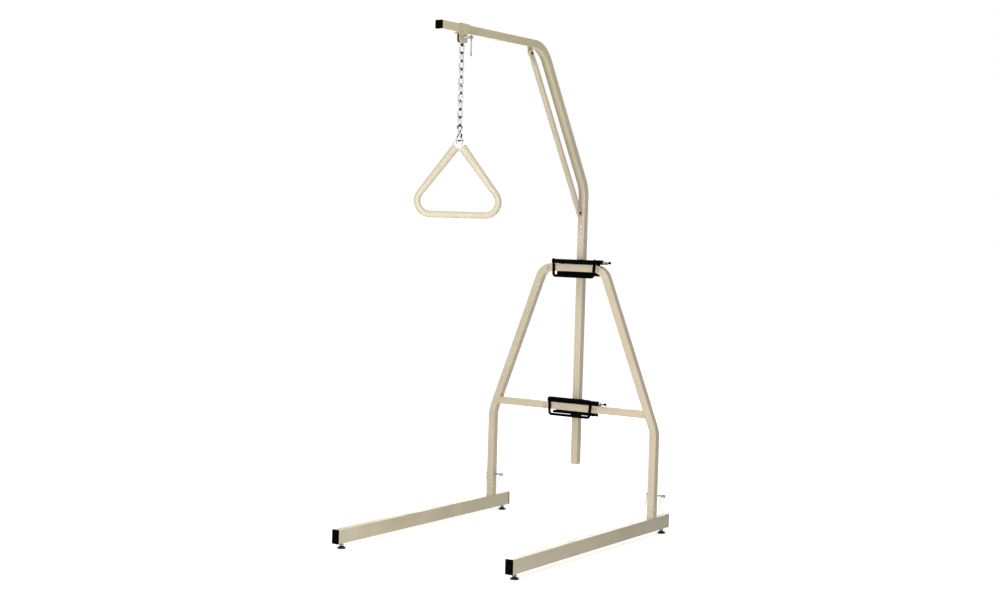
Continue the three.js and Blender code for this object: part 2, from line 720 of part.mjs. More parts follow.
// A bracket that hooks over a crossbar: channel, hinge barrel and the sleeve that the post slides in
function addBracket(level, height) {
  const barTop = height + half;
  const barBottom = height - half;
  const plateTop = barTop + bracketVerticalGap;
  const plateBottom = barBottom - bracketVerticalGap;
  const front = -half - bracketFrontLip;
  const plateLow = plateBottom - bracketBottomPlates[level];
  const webBack = bracketWebFront + bracketPlate;
  const axisZ = plateTop + barrelRadius;
  const axisAt = [0, -barrelForwardReach, axisZ];
  const pinSpace = hingePinRadius + slideGap;
  const web = boxBetween(
    [-bracketLeftReach, bracketWebFront, plateLow - webBelowPlateDrops[level]],
    [webRightReaches[level], webBack, plateTop + bracketTopPlate],
  );
  const topPlate = boxBetween(
    [-bracketLeftReach, -barrelForwardReach, plateTop],
    [bracketRightReach, webBack, plateTop + bracketTopPlate],
  );
  const bottomPlate = boxBetween(
    [-bracketLeftReach, front, plateLow],
    [webRightReaches[level], webBack, plateBottom],
  );
  const barrel = rodAlong("x", barrelRadius, -barrelLeftReach, barrelRightReach, axisAt);
  const endBlock = boxBetween(
    [endBlockLeftReach, -barrelForwardReach - endBlockDepth / 2, axisZ - barrelRadius],
    [bracketRightReach, -barrelForwardReach + endBlockDepth / 2, axisZ - barrelRadius + endBlockHeight],
  );
  const sleeve = boxBetween(
    [-sleeveHalf, postY - sleeveHalf, height - sleeveBelowDrop],
    [sleeveHalf, postY + sleeveHalf, height + sleeveAboveHeight],
  );
  const bossFrom = postY + sleeveHalf - sleeveWall / 2;
  const bossTo = postY + sleeveHalf + screwBossLength;
  const boss = rodAlong("y", screwBossRadius, bossFrom, bossTo, [0, 0, height]);
  const eyeNotch = boxBetween(
    [barrelRightReach, -barrelForwardReach - tubeSize, plateTop - cutReach],
    [endBlockLeftReach, -barrelForwardReach + half, plateTop + tubeSize],
  );
  const boreFrom = -barrelLeftReach - cutReach;
  const pinBore = rodAlong("x", pinSpace, boreFrom, bracketRightReach + cutReach, axisAt);
  const bore = half + slideGap;
  const postSpace = boxBetween(
    [-bore, postY - bore, height - sleeveBelowDrop - cutReach],
    [bore, postY + bore, height + sleeveAboveHeight + cutReach],
  );
  const screwSpace = rodAlong("y", postScrewRadius + slideGap, postY, bossTo + cutReach, [0, 0, height]);
  const solid = cut(
    join(web, topPlate, bottomPlate, barrel, endBlock, sleeve, boss),
    eyeNotch,
    pinBore,
    postSpace,
    screwSpace,
  );
  addPiece(`bracket_${level}`, solid, blackEnamel);

  const pin = rodAlong("x", hingePinRadius, -hingePinLeftReach, hingePinRightReach, axisAt, rodSegments);
  const crossHalf = crossPinLength / 2;
  const crossPin = rodAlong("z", crossPinRadius, -crossHalf, crossHalf, [0, 0, 0], rodSegments);
  crossPin.rotateY(THREE.MathUtils.degToRad(crossPinTiltDegrees));
  crossPin.translate(crossPinReach, -barrelForwardReach, axisZ);
  addPiece(`hinge_pin_${level}`, join(pin, crossPin), zinc);
  const ball = new THREE.SphereGeometry(ballRadius, holeSegments, rodSegments);
  ball.translate(hingePinRightReach + touchGap + ballRadius, -barrelForwardReach, axisZ);
  addPiece(`hinge_pin_ball_${level}`, ball, blackPlastic);

  const bottomZ = height - bailBelowBarDrop;
  const hangZ = axisZ - bailEyeRadius;
  const corners = [
    [-bailLeftTopReach, -barrelForwardReach, hangZ],
    [-bailLeftBottomReach, -barrelForwardReach, bottomZ],
    [bailRightBottomReach, -barrelForwardReach, bottomZ],
    [bailRightTopReach, -barrelForwardReach, hangZ],
  ];
  const rod = wire(corners, bailCornerRadius, bailWireRadius, smallBendSteps);
  const eyes = [-bailLeftTopReach, bailRightTopReach].map((x) => {
    return eyeRing(bailEyeRadius, bailEyeWireRadius, [x, -barrelForwardReach, axisZ]);
  });
  addPiece(`bail_${level}`, join(rod, ...eyes), blackEnamel);

  const tipY = postY + half + touchGap;
  const knobY = bossTo + postScrewNeckLength;
  const knobEnd = knobY + postScrewKnobLength;
  const profile = [
    [0, tipY],
    [postScrewRadius, tipY],
    [postScrewRadius, knobY],
    [postScrewKnobRadius * knobInnerShare, knobY],
    [postScrewKnobRadius, knobY + postScrewKnobLength * knobInnerBevelShare],
    [postScrewKnobRadius, knobEnd - postScrewKnobLength * knobOuterBevelShare],
    [postScrewKnobRadius * knobOuterShare, knobEnd],
    [0, knobEnd],
  ];
  const screw = turned(profile).rotateX(-Math.PI / 2).translate(0, 0, height);
  addPiece(`post_screw_${level}`, screw, blackPlastic);
}

// The strap that wraps the arm, its two ears, the clamp screw and the sliding tommy bar
function addHanger() {
  const outer = half + slideGap + strapThickness;
  const inner = half + slideGap;
  const low = hangerY - strapLength / 2;
  const high = hangerY + strapLength / 2;
  const block = boxBetween([-outer, low, armHeight - outer], [outer, high, armHeight + outer]);
  const bore = boxBetween(
    [-inner, low - cutReach, armHeight - inner],
    [inner, high + cutReach, armHeight + inner],
  );
  const earOuter = earGap / 2 + strapThickness;
  const earBottom = strapBottom - earDrop;
  const ears = new THREE.Shape();
  ears.moveTo(low, strapBottom + strapThickness / 2);
  ears.lineTo(low, earBottom + earChamfer);
  ears.lineTo(low + earChamfer, earBottom);
  ears.lineTo(high - earChamfer, earBottom);
  ears.lineTo(high, earBottom + earChamfer);
  ears.lineTo(high, strapBottom + strapThickness / 2);
  ears.closePath();
  const earBlock = straight(ears, earOuter * 2);
  earBlock.rotateX(Math.PI / 2).rotateZ(Math.PI / 2).translate(-earOuter, 0, 0);
  const slot = boxBetween(
    [-earGap / 2, low - cutReach, earBottom - cutReach],
    [earGap / 2, high + cutReach, armHeight - half],
  );
  const axisAt = [0, hangerY, hangerScrewZ];
  const nutFrom = -earOuter - hangerNutLength;
  const nutTo = -earOuter + strapThickness / 2;
  const nut = rodAlong("x", hangerNutRadius, nutFrom, nutTo, axisAt, nutSides);
  const screwSpace = rodAlong("x", hangerScrewRadius + touchGap, -half, half, axisAt);
  addPiece("hanger_clamp", cut(join(block, earBlock, nut), bore, slot, screwSpace), beigeEnamel);

  const shaftFrom = nutFrom - boltRadius;
  const headTo = hangerHeadReach + hangerHeadLength;
  const shaft = rodAlong("x", hangerScrewRadius, shaftFrom, headTo - hangerHeadLength / 2, axisAt);
  const head = rodAlong("x", hangerHeadRadius, hangerHeadReach, headTo, axisAt);
  const barX = hangerHeadReach + hangerHeadLength / 2;
  const barAt = [barX, hangerY, hangerScrewZ];
  const barSpace = rodAlong("z", tommyRadius + touchGap, -tubeSize, tubeSize, barAt);
  addPiece("hanger_screw", cut(join(shaft, head), barSpace), zinc);

  const barTop = hangerScrewZ + hangerHeadRadius + touchGap + tommyKnobRadius;
  const bar = rodAlong("z", tommyRadius, barTop - tommyLength, barTop, [barX, hangerY, 0], rodSegments);
  const knobs = [barTop, barTop - tommyLength].map((z) => {
    const knob = new THREE.SphereGeometry(tommyKnobRadius, rodSegments, rodSegments / 2);
    return knob.translate(barX, hangerY, z);
  });
  addPiece("tommy_bar", join(bar, ...knobs), zinc);
}

// A closed oval of round wire in the YZ plane, centred on the origin
class OvalPath extends THREE.Curve {
  constructor(innerLength, innerWidth, wireRadius) {
    super();
    this.bend = innerWidth / 2 + wireRadius;
    this.straight = innerLength / 2 + wireRadius - this.bend;
  }

  station(u) {
    const step = Math.round(u * linkSteps) % linkSteps;
    const lower = step > linkArcSteps;
    const angle = (Math.PI * (lower ? step - 1 : step)) / linkArcSteps;
    return { angle, shift: lower ? -this.straight : this.straight };
  }

  getPointAt(u, target = new THREE.Vector3()) {
    const { angle, shift } = this.station(u);
    return target.set(0, this.bend * Math.cos(angle), this.bend * Math.sin(angle) + shift);
  }

  getPoint(u, target) {
    return this.getPointAt(u, target);
  }

  getTangentAt(u, target = new THREE.Vector3()) {
    const { angle } = this.station(u);
    return target.set(0, -Math.sin(angle), Math.cos(angle));
  }
}

function addChain() {
  const innerLength = linkPitch + touchGap;
  const oval = new OvalPath(innerLength, linkInnerWidth, linkWireRadius);
  for (let i = 0; i < linkCount; i += 1) {
    const link = new THREE.TubeGeometry(oval, linkSteps, linkWireRadius, linkWireSides, true);
    if (i % 2 === 1) {
      link.rotateZ(Math.PI / 2);
    }
    link.translate(0, hangerY, chainTop - linkPitch * i - linkPitch / 2);
    const name = `chain_link_${String(i + 1).padStart(2, "0")}`;
    addPiece(name, link, zinc);
  }
}

// An S of round wire: the upper bend hangs on the chain and the lower one carries the handle
function addHook() {
  const a = hookBendRadius;
  const upper = hookTopZ - a;
  const lower = hookBottomZ + a;
  const corners = [
    [-a, 0, upper - hookTipLength],
    [-a, 0, hookTopZ],
    [a, 0, hookTopZ],
    [a, 0, upper - hookShoulderLength],
    [-a, 0, lower + hookShoulderLength],
    [-a, 0, hookBottomZ],
    [a, 0, hookBottomZ],
    [a, 0, lower + hookTipLength],
  ];
  const blend = hookBlendRadius;
  const hook = wire(corners, [a, a, blend, blend, a, a], hookWireRadius, smallBendSteps);
  hook.rotateZ(THREE.MathUtils.degToRad(hookYawDegrees)).translate(0, hangerY, 0);
  addPiece("s_hook", hook, zinc);
}

// The handle: a bent tube and the plate that joins its two ends, in one plane turned about Z
function addHandle() {
  const yaw = THREE.MathUtils.degToRad(handleYawDegrees);
  const plateTop = handleSeatZ + hangerPlateTopHeight;
  const cornerZ = handleSeatZ - hangerPlateCornerDrop;
  const bottomZ = handleSeatZ - hangerPlateBottomDrop;
  const outline = (grow) => {
    const shape = new THREE.Shape();
    shape.moveTo(-hangerPlateTopHalfWidth - grow, plateTop + grow);
    shape.lineTo(-hangerPlateHalfWidth - grow * 2, cornerZ);
    shape.lineTo(0, bottomZ - grow * 2);
    shape.lineTo(hangerPlateHalfWidth + grow * 2, cornerZ);
    shape.lineTo(hangerPlateTopHalfWidth + grow, plateTop + grow);
    shape.closePath();
    return shape;
  };
  const slab = (shape, thickness) => {
    return straight(shape, thickness).rotateX(Math.PI / 2).translate(0, thickness / 2, 0);
  };
  const plate = slab(outline(0), hangerPlateThickness);
  const hole = tubeSection(hangerHoleHalfWidth * 2, hangerHoleHalfHeight * 2, hangerHoleCornerRadius);
  const place = (geometry) => geometry.rotateZ(yaw).translate(0, hangerY, 0);
  const holeTool = slab(hole, tubeSize).translate(0, 0, handleSeatZ - hangerHoleHalfHeight);
  addPiece("handle_plate", place(cut(plate, holeTool)), zinc);

  const barZ = handleSeatZ - handleBarDrop;
  const apexZ = barZ + handleSideHeight;
  const sides = [
    [0, 0, apexZ],
    [-handleCornerHalfWidth, 0, barZ],
    [handleCornerHalfWidth, 0, barZ],
    [0, 0, apexZ],
  ];
  const bent = new BentPath(sides, handleCornerRadius);
  const tube = sweep(roundSection(handleTubeRadius, handleTubeWall), bent, roundSides / 2);
  const clear = slab(outline(touchGap), tubeSize);
  addPiece("handle_tube", place(cut(tube, clear)), beigeEnamel);
}

const sides = [
  ["left", -1],
  ["right", 1],
];
const levels = [
  ["lower", lowerCrossbarHeight],
  ["upper", upperCrossbarHeight],
];
for (const [side, sign] of sides) {
  addBase(side, sign * legX);
  addLeg(side, sign);
  addLegPin(side, sign);
}
for (const [level, height] of levels) {
  addCrossbar(level, height);
  for (const [side, sign] of sides) {
    addButton(level, side, crossbarCentres[level] + sign * buttonReach, height);
  }
  addBracket(level, height);
}
addPostAndArm();
addBrace();
addBraceBolt("upper", braceUpperBolt);
addBraceBolt("lower", braceLowerBolt);
addHanger();
addChain();
addHook();
addHandle();

// The frame's origin: the middle of the bounding box, at the floor
const bounds = new THREE.Box3().setFromObject(group);
const middle = bounds.getCenter(new THREE.Vector3());
group.position.set(-middle.x, -middle.y, -bounds.min.z);

export default group;
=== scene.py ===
import math

import bmesh
import bpy
from mathutils import Matrix, Vector


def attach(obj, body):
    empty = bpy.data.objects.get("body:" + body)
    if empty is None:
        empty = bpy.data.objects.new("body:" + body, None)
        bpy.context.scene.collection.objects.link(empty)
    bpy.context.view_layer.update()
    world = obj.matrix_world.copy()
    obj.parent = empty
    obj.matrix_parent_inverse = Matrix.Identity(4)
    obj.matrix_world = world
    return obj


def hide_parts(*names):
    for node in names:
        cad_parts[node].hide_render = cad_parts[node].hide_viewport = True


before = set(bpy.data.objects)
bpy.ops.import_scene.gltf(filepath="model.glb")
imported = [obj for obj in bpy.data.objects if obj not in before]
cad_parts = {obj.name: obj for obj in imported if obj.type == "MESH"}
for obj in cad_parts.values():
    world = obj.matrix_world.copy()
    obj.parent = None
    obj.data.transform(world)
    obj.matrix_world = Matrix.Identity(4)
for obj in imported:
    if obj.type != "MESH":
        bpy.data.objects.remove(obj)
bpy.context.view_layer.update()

# Lengths are in millimetres from the middle of the leg frame at the floor, as the solids have them.
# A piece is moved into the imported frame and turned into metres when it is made. GAP is what parts that
# only touch keep between them, M8_THREAD holds radius, pitch and depth, and the heights of the two
# crossbars are LEVELS.
MM = 0.001
SHIFT = Vector((-12.7, 378.5, 0.0))
SHARP = math.radians(36)

X, Y, Z = (1, 0, 0), (0, 1, 0), (0, 0, 1)
FRONT = (0, -1, 0)
HEXAGON = 6
GAP = 0.3
M8_THREAD = (4.0, 1.25, 0.5)

TUBE = 25.4
HALF = TUBE / 2
WALL = 1.6
CORNER = 2.1
LEG_X = 320.0
LEG_PIN_Z = 138.4
BASE_HEIGHT = 44.5
BASE_LOW = 18.0
BASE_MID = BASE_LOW + BASE_HEIGHT / 2
BASE_TOP = BASE_LOW + BASE_HEIGHT
BASE_FRONT = -850.0
BASE_REAR = 93.0
LEVELS = {"lower": 401.7, "upper": 875.2}
SIDES = {"left": -1, "right": 1}
LEG_BEND = {"left": 362.0, "right": 347.0}
SHOULDER = {"left": -127.0, "right": 109.0}
CROSS_CENTRE = {"lower": -3.0, "upper": -7.5}
CROSS_HALF = 70.0
BUTTON_REACH = 98.5
BUTTON_DROP = 2.5
POST_Y = 35.5
POST_FRONT = POST_Y - HALF
ARM_Z = 1594.2
ARM_LOW = ARM_Z - HALF
ARM_END = -819.0
HANGER_Y = -702.5
CHAIN_TOP = 1571.1
PITCH = 24.0


# Shapes: every function gives (vertices, faces) in millimetres


def bent_path(corners, radii, steps=14):
    """Stations of (place, tangent) along straight runs joined by arcs."""
    points = [Vector(c) for c in corners]
    if not isinstance(radii, (list, tuple)):
        radii = [radii] * (len(points) - 2)
    stations = [(points[0], (points[1] - points[0]).normalized())]
    for i in range(1, len(points) - 1):
        arrive = (points[i] - points[i - 1]).normalized()
        leave = (points[i + 1] - points[i]).normalized()
        turn = arrive.angle(leave)
        inward = (leave - arrive * leave.dot(arrive)).normalized()
        start = points[i] - arrive * radii[i - 1] * math.tan(turn / 2)
        for k in range(steps + 1):
            a = turn * k / steps
            place = start + (arrive * math.sin(a) + inward * (1 - math.cos(a))) * radii[i - 1]
            stations.append((place, arrive * math.cos(a) + inward * math.sin(a)))
    stations.append((points[-1], (points[-1] - points[-2]).normalized()))
    clean = [stations[0]]
    for s in stations[1:]:
        if (s[0] - clean[-1][0]).length > 1e-3:
            clean.append(s)
    return clean


def circle_points(count):
    angles = [2 * math.pi * k / count for k in range(count)]
    return [(math.cos(a), math.sin(a)) for a in angles]


def round_section(radius, sides=20):
    return [(radius * c, radius * s) for c, s in circle_points(sides)]


def square_section(width, height, corner, steps=5):
    points = []
    for quarter, (sx, sy) in enumerate(((1, 1), (-1, 1), (-1, -1), (1, -1))):
        for k in range(steps + 1):
            a = (quarter + k / steps) * math.pi / 2
            x = sx * (width / 2 - corner) + corner * math.cos(a)
            y = sy * (height / 2 - corner) + corner * math.sin(a)
            points.append((x, y))
    return points


def ring_faces(count, sides, closed=False, first=0):
    faces = []
    spans = count if closed else count - 1
    for r in range(spans):
        low = first + r * sides
        high = first + ((r + 1) % count) * sides
        for k in range(sides):
            n = (k + 1) % sides
            faces.append((low + k, low + n, high + n, high + k))
    return faces


def solid_faces(count, sides):
    """The wall of a closed body and its two flat ends."""
    last = (count - 1) * sides
    return ring_faces(count, sides) + [tuple(range(sides)), tuple(range(last, last + sides))]


def sweep(stations, section, side, bore=None, closed=False, grow=None):
    """A section carried along a flat path; side is the normal of the path's plane."""
    side = Vector(side).normalized()
    verts = []
    faces = []
    firsts = []
    for outline in [section] + ([bore] if bore else []):
        firsts.append(len(verts))
        for i, (place, tangent) in enumerate(stations):
            up = tangent.cross(side).normalized()
            scale = grow(i) if grow else 1.0
            for a, b in outline:
                verts.append(place + side * a * scale + up * b * scale)
        faces += ring_faces(len(stations), len(outline), closed, firsts[-1])
    if closed:
        return verts, faces
    sides = len(section)
    last = (len(stations) - 1) * sides
    if not bore:
        return verts, solid_faces(len(stations), sides)
    for k in range(sides):
        n = (k + 1) % sides
        for outer, inner in ((0, firsts[1]), (last, firsts[1] + last)):
            faces.append((outer + k, outer + n, inner + n, inner + k))
    return verts, faces


def straight(direction, *places):
    """The stations of a straight sweep."""
    return [(Vector(place), Vector(direction)) for place in places]


def square_tube(corners, radii, side, steps=14, size=TUBE):
    outer = square_section(size, size, CORNER)
    inner = square_section(size - 2 * WALL, size - 2 * WALL, CORNER - WALL)
    return sweep(bent_path(corners, radii, steps), outer, side, inner)


def rounded_ends(path, radius, steps=5, depth=0.55, least=0.12):
    """A wire's path with a short domed tip at both ends; every station gets its scale."""
    tips = []
    for place, tangent, inward in ((*path[0], 1), (*path[-1], -1)):
        tips.append([])
        for k in range(steps + 1):
            back = radius * depth * k / steps
            scale = max(math.sin(math.pi / 2 * k / steps), least)
            tips[-1].append((place + tangent * inward * back, tangent, scale))
    return tips[0] + [(place, tangent, 1.0) for place, tangent in path[1:-1]] + tips[1][::-1]


def wire(corners, radii, radius, side, steps=10, sides=16):
    path = rounded_ends(bent_path(corners, radii, steps), radius)
    return sweep([s[:2] for s in path], round_section(radius, sides), side, grow=lambda i: path[i][2])


def ring(major, minor, centre, axis, segments=36, sides=14):
    axis = Vector(axis).normalized()
    a = axis.orthogonal().normalized()
    b = axis.cross(a)
    stations = [
        (Vector(centre) + (a * c + b * s) * major, b * c - a * s) for c, s in circle_points(segments)
    ]
    return sweep(stations, round_section(minor, sides), axis, closed=True)


def bead(points, radius, normal, ripple=0.16, step=1.2):
    """A weld seam: an uneven rounded strip that follows a closed line."""
    points = [Vector(p) for p in points]
    dense = []
    for p, q in zip(points, points[1:] + points[:1]):
        count = max(1, int((q - p).length / step))
        dense += [p.lerp(q, k / count) for k in range(count)]
    stations = []
    for i, p in enumerate(dense):
        stations.append((p, (dense[(i + 1) % len(dense)] - dense[i - 1]).normalized()))
    return sweep(
        stations, round_section(radius, 10), normal, closed=True,
        grow=lambda i: 1 + ripple * math.sin(i * 1.9) + ripple * 0.6 * math.sin(i * 0.73 + 1),
    )


def soften(profile, radius, steps=4):
    """Rounds the inner corners of a turned outline."""
    points = [Vector((r, h, 0)) for r, h in profile]
    out = [points[0]]
    for i in range(1, len(points) - 1):
        back = points[i - 1] - points[i]
        forth = points[i + 1] - points[i]
        reach = min(radius, back.length * 0.45, forth.length * 0.45)
        if reach < 1e-4 or back.angle(forth) > math.radians(172):
            out.append(points[i])
            continue
        a = points[i] + back.normalized() * reach
        b = points[i] + forth.normalized() * reach
        for k in range(steps + 1):
            t = k / steps
            out.append(a.lerp(points[i], t).lerp(points[i].lerp(b, t), t))
    out.append(points[-1])
    return [(p.x, p.y) for p in out]


def turned(profile, centre, axis, segments=40, soft=0.0):
    """A turned shape from points of (radius, height) along an axis."""
    if soft:
        profile = soften(profile, soft)
    axis = Vector(axis).normalized()
    a = axis.orthogonal().normalized()
    b = axis.cross(a)
    verts = []
    for radius, height in profile:
        middle = Vector(centre) + axis * height
        verts += [middle + (a * c + b * s) * max(radius, 0.01) for c, s in circle_points(segments)]
    return verts, solid_faces(len(profile), segments)


def rod(start, end, radius, chamfer=0.4, segments=28):
    start = Vector(start)
    length = (Vector(end) - start).length
    profile = [
        (radius - chamfer, 0),
        (radius, chamfer),
        (radius, length - chamfer),
        (radius - chamfer, length),
    ]
    return turned(profile, start, Vector(end) - start, segments, soft=chamfer * 0.6)


def ball(centre, radius, axis=Z, segments=32, rings=18, squash=1.0):
    angles = [-math.pi / 2 + math.pi * k / rings for k in range(rings + 1)]
    profile = [(radius * math.cos(a), radius * math.sin(a) * squash) for a in angles]
    return turned(profile, centre, axis, segments)


def threaded(start, end, radius, pitch, depth, segments=28):
    """A rod with a fine thread drawn as close rounded rings."""
    start = Vector(start)
    length = (Vector(end) - start).length
    profile = [(radius - depth, 0)]
    for k in range(int(length / pitch)):
        profile += [(radius, (k + 0.35) * pitch), (radius, (k + 0.6) * pitch)]
        profile.append((radius - depth, (k + 0.97) * pitch))
    profile.append((radius - depth, length))
    return turned(profile, start, Vector(end) - start, segments)


def block(low, high, bevel):
    """A box with rounded edges."""
    mesh = bmesh.new()
    bmesh.ops.create_cube(mesh, size=1)
    low, high = Vector(low), Vector(high)
    size = high - low
    for v in mesh.verts:
        v.co = Vector([c * s for c, s in zip(v.co, size)]) + (low + high) / 2
    return taken(mesh, mesh.edges, bevel, 3)


def slab(outline, direction, thickness, bevel):
    """A plate: a flat outline given thickness along a direction, with softened edges."""
    mesh = bmesh.new()
    points = [Vector(p) for p in outline]
    along = Vector(direction).normalized() * thickness
    near = [mesh.verts.new(p) for p in points]
    far = [mesh.verts.new(p + along) for p in points]
    mesh.faces.new(near)
    mesh.faces.new(list(reversed(far)))
    for k in range(len(points)):
        n = (k + 1) % len(points)
        mesh.faces.new((near[n], near[k], far[k], far[n]))
    bmesh.ops.recalc_face_normals(mesh, faces=mesh.faces[:])
    rim = [e for e in mesh.edges if len(e.link_faces) == 2 and e.calc_face_angle(0) > 0.5]
    return taken(mesh, rim, bevel, 2)


def taken(mesh, edges, bevel, steps):
    """The shape of a mesh once the edges given are rounded."""
    bmesh.ops.bevel(mesh, geom=list(edges), offset=bevel, segments=steps, profile=0.5, affect="EDGES")
    mesh.verts.ensure_lookup_table()
    mesh.verts.index_update()
    verts = [v.co.copy() for v in mesh.verts]
    faces = [tuple(v.index for v in f.verts) for f in mesh.faces]
    mesh.free()
    return verts, faces


def moved(shape, matrix):
    return [matrix @ v for v in shape[0]], shape[1]


def add_object(name, data):
    made = bpy.data.objects.new(name, data)
    bpy.context.scene.collection.objects.link(made)
    return made


def shade_smooth(mesh):
    mesh.polygons.foreach_set("use_smooth", [True] * len(mesh.polygons))
    mesh.set_sharp_from_angle(angle=SHARP)


def build_object(name, shapes):
    mesh = bmesh.new()
    for verts, faces in shapes:
        made = [mesh.verts.new((v + SHIFT) * MM) for v in verts]
        for f in faces:
            mesh.faces.new([made[i] for i in f])
    bmesh.ops.recalc_face_normals(mesh, faces=mesh.faces[:])
    data = bpy.data.meshes.new(name)
    mesh.to_mesh(data)
    mesh.free()
    shade_smooth(data)
    return add_object(name, data)


def cut_holes(obj, holes):
    cutter = build_object("cutter", holes)
    modifier = obj.modifiers.new("holes", "BOOLEAN")
    modifier.object = cutter
    modifier.operation = "DIFFERENCE"
    modifier.solver = "EXACT"
    bpy.context.view_layer.update()
    graph = bpy.context.evaluated_depsgraph_get()
    data = bpy.data.meshes.new_from_object(obj.evaluated_get(graph))
    obj.modifiers.clear()
    obj.data = data
    shade_smooth(data)
    bpy.data.objects.remove(cutter)


def piece(name, shapes, material, body, nodes=(), weighted=False, holes=()):
    """One piece of the object, in place, riding on its body and standing for the named solids."""
    obj = build_object(name, shapes)
    if holes:
        cut_holes(obj, holes)
    obj.data.materials.append(material)
    if weighted:
        modifier = obj.modifiers.new("weighted", "WEIGHTED_NORMAL")
        modifier.keep_sharp = True
    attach(obj, body)
    if nodes:
        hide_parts(*nodes)


# Materials


def node(tree, kind, **sockets):
    made = tree.nodes.new(kind)
    for name, value in sockets.items():
        made.inputs[name.replace("_", " ")].default_value = value
    return made


def noise(tree, scale, detail=3.0, roughness=0.55):
    coords = tree.nodes.new("ShaderNodeTexCoord")
    made = node(tree, "ShaderNodeTexNoise", Scale=scale, Detail=detail, Roughness=roughness)
    tree.links.new(coords.outputs["Object"], made.inputs["Vector"])
    return made.outputs["Fac"]


def ramp(tree, source, low, high, at=(0.35, 0.65)):
    """A blend from low to high, which are colours or levels of grey."""
    made = tree.nodes.new("ShaderNodeValToRGB")
    for element, position, tone in zip(made.color_ramp.elements, at, (low, high)):
        element.position = position
        element.color = (*tone, 1) if isinstance(tone, tuple) else (tone, tone, tone, 1)
    tree.links.new(source, made.inputs["Fac"])
    return made.outputs["Color"]


def multiply(tree, a, b):
    made = tree.nodes.new("ShaderNodeMix")
    made.data_type = "RGBA"
    made.blend_type = "MULTIPLY"
    made.inputs["Factor"].default_value = 1
    tree.links.new(a, made.inputs["A"])
    tree.links.new(b, made.inputs["B"])
    return made.outputs["Result"]


def bump(tree, bsdf, source, strength, distance, under=None):
    made = node(tree, "ShaderNodeBump", Strength=strength, Distance=distance)
    tree.links.new(source, made.inputs["Height"])
    if under:
        tree.links.new(under, made.inputs["Normal"])
    tree.links.new(made.outputs["Normal"], bsdf.inputs["Normal"])
    return made.outputs["Normal"]


def arithmetic(tree, operation, *values):
    """A Math node; every value is a number or the socket that gives it."""
    made = tree.nodes.new("ShaderNodeMath")
    made.operation = operation
    for socket, value in zip(made.inputs, values):
        if isinstance(value, (int, float)):
            socket.default_value = value
        else:
            tree.links.new(value, socket)
    return made.outputs[0]


def map_range(tree, source, **limits):
    made = node(tree, "ShaderNodeMapRange", **limits)
    tree.links.new(source, made.inputs["Value"])
    return made.outputs["Result"]


def height_of(tree, frame_name):
    """The height in the object's own frame or in its box."""
    coords = tree.nodes.new("ShaderNodeTexCoord")
    parts = tree.nodes.new("ShaderNodeSeparateXYZ")
    tree.links.new(coords.outputs[frame_name], parts.inputs[0])
    return parts.outputs["Z"]


def multiply_colour(material, shade):
    tree = material.node_tree
    colour = tree.nodes["Principled BSDF"].inputs["Base Color"]
    tree.links.new(multiply(tree, colour.links[0].from_socket, shade), colour)


def surface(name, base, darker, roughness, metallic=0.0, specular=0.5, coat=0.0, grain=900,
            grain_strength=0.12, patch=9, marks=None, coat_roughness=0.1):
    """A finish with broad patches of tone, fine grain in its bump, uneven gloss and small marks.

    Tones are colours or levels of grey. marks holds the scale of the marks, their tone and how far
    they spread.
    """
    material = bpy.data.materials.new(name)
    material.use_nodes = True
    tree = material.node_tree
    bsdf = tree.nodes["Principled BSDF"]
    bsdf.inputs["Metallic"].default_value = metallic
    bsdf.inputs["Specular IOR Level"].default_value = specular
    bsdf.inputs["Coat Weight"].default_value = coat
    bsdf.inputs["Coat Roughness"].default_value = coat_roughness
    tone = ramp(tree, noise(tree, patch, 4), darker, base, (0.32, 0.62))
    if marks:
        scale, mark_tone, spread = marks
        tone = multiply(tree, tone, ramp(tree, noise(tree, scale, 6, 0.7), mark_tone, 1.0, spread))
    tree.links.new(tone, bsdf.inputs["Base Color"])
    gloss = ramp(tree, noise(tree, patch * 3.1, 5), *roughness)
    tree.links.new(gloss, bsdf.inputs["Roughness"])
    fine = bump(tree, bsdf, noise(tree, grain, 2), grain_strength, 0.0002)
    bump(tree, bsdf, noise(tree, grain / 9, 3), grain_strength * 0.6, 0.0006, fine)
    return material


def enamel_finish(name, base=(0.700, 0.604, 0.440), darker=(0.655, 0.562, 0.405), roughness=(0.36, 0.46),
                  grain_strength=0.02, marks=(140, (0.93, 0.91, 0.88), (0.22, 0.32))):
    return surface(
        name, base, darker, roughness, specular=0.42, coat=0.12, coat_roughness=0.22,
        grain_strength=grain_strength, marks=marks,
    )


def metal_finish(name, base, darker, roughness, patch, grain_strength=0.16, marks=None):
    return surface(
        name, base, darker, roughness, metallic=1.0, grain=1500, grain_strength=grain_strength,
        patch=patch, marks=marks,
    )


def tint_with_height(material, low, high, tint):
    """The paint turns slightly toward the tint between two heights in metres."""
    tree = material.node_tree
    spread = map_range(tree, height_of(tree, "Object"), From_Min=low, From_Max=high)
    multiply_colour(material, ramp(tree, spread, 1.0, tint, (0.0, 1.0)))


def paint_shade_at_link_ends(material, wander=0.42):
    """Painted shade: links darker at the top and the bottom of their own height, where they hang in each
    other.
    """
    tree = material.node_tree
    uneven = arithmetic(
        tree, "MULTIPLY_ADD", noise(tree, 170, 2), wander, height_of(tree, "Generated"),
    )
    shade = tree.nodes.new("ShaderNodeValToRGB")
    stops = ((0.0, 0.03), (0.12, 0.05), (0.24, 1.0), (0.78, 1.0), (0.90, 0.05), (1.0, 0.03))
    elements = shade.color_ramp.elements
    while len(elements) < len(stops):
        elements.new(0.5)
    for element, (at, _) in zip(elements, stops):
        element.position = at
    for element, (_, level) in zip(elements, stops):
        element.color = (level, level, level, 1)
    tree.links.new(arithmetic(tree, "SUBTRACT", uneven, wander / 2), shade.inputs[0])
    multiply_colour(material, shade.outputs["Color"])


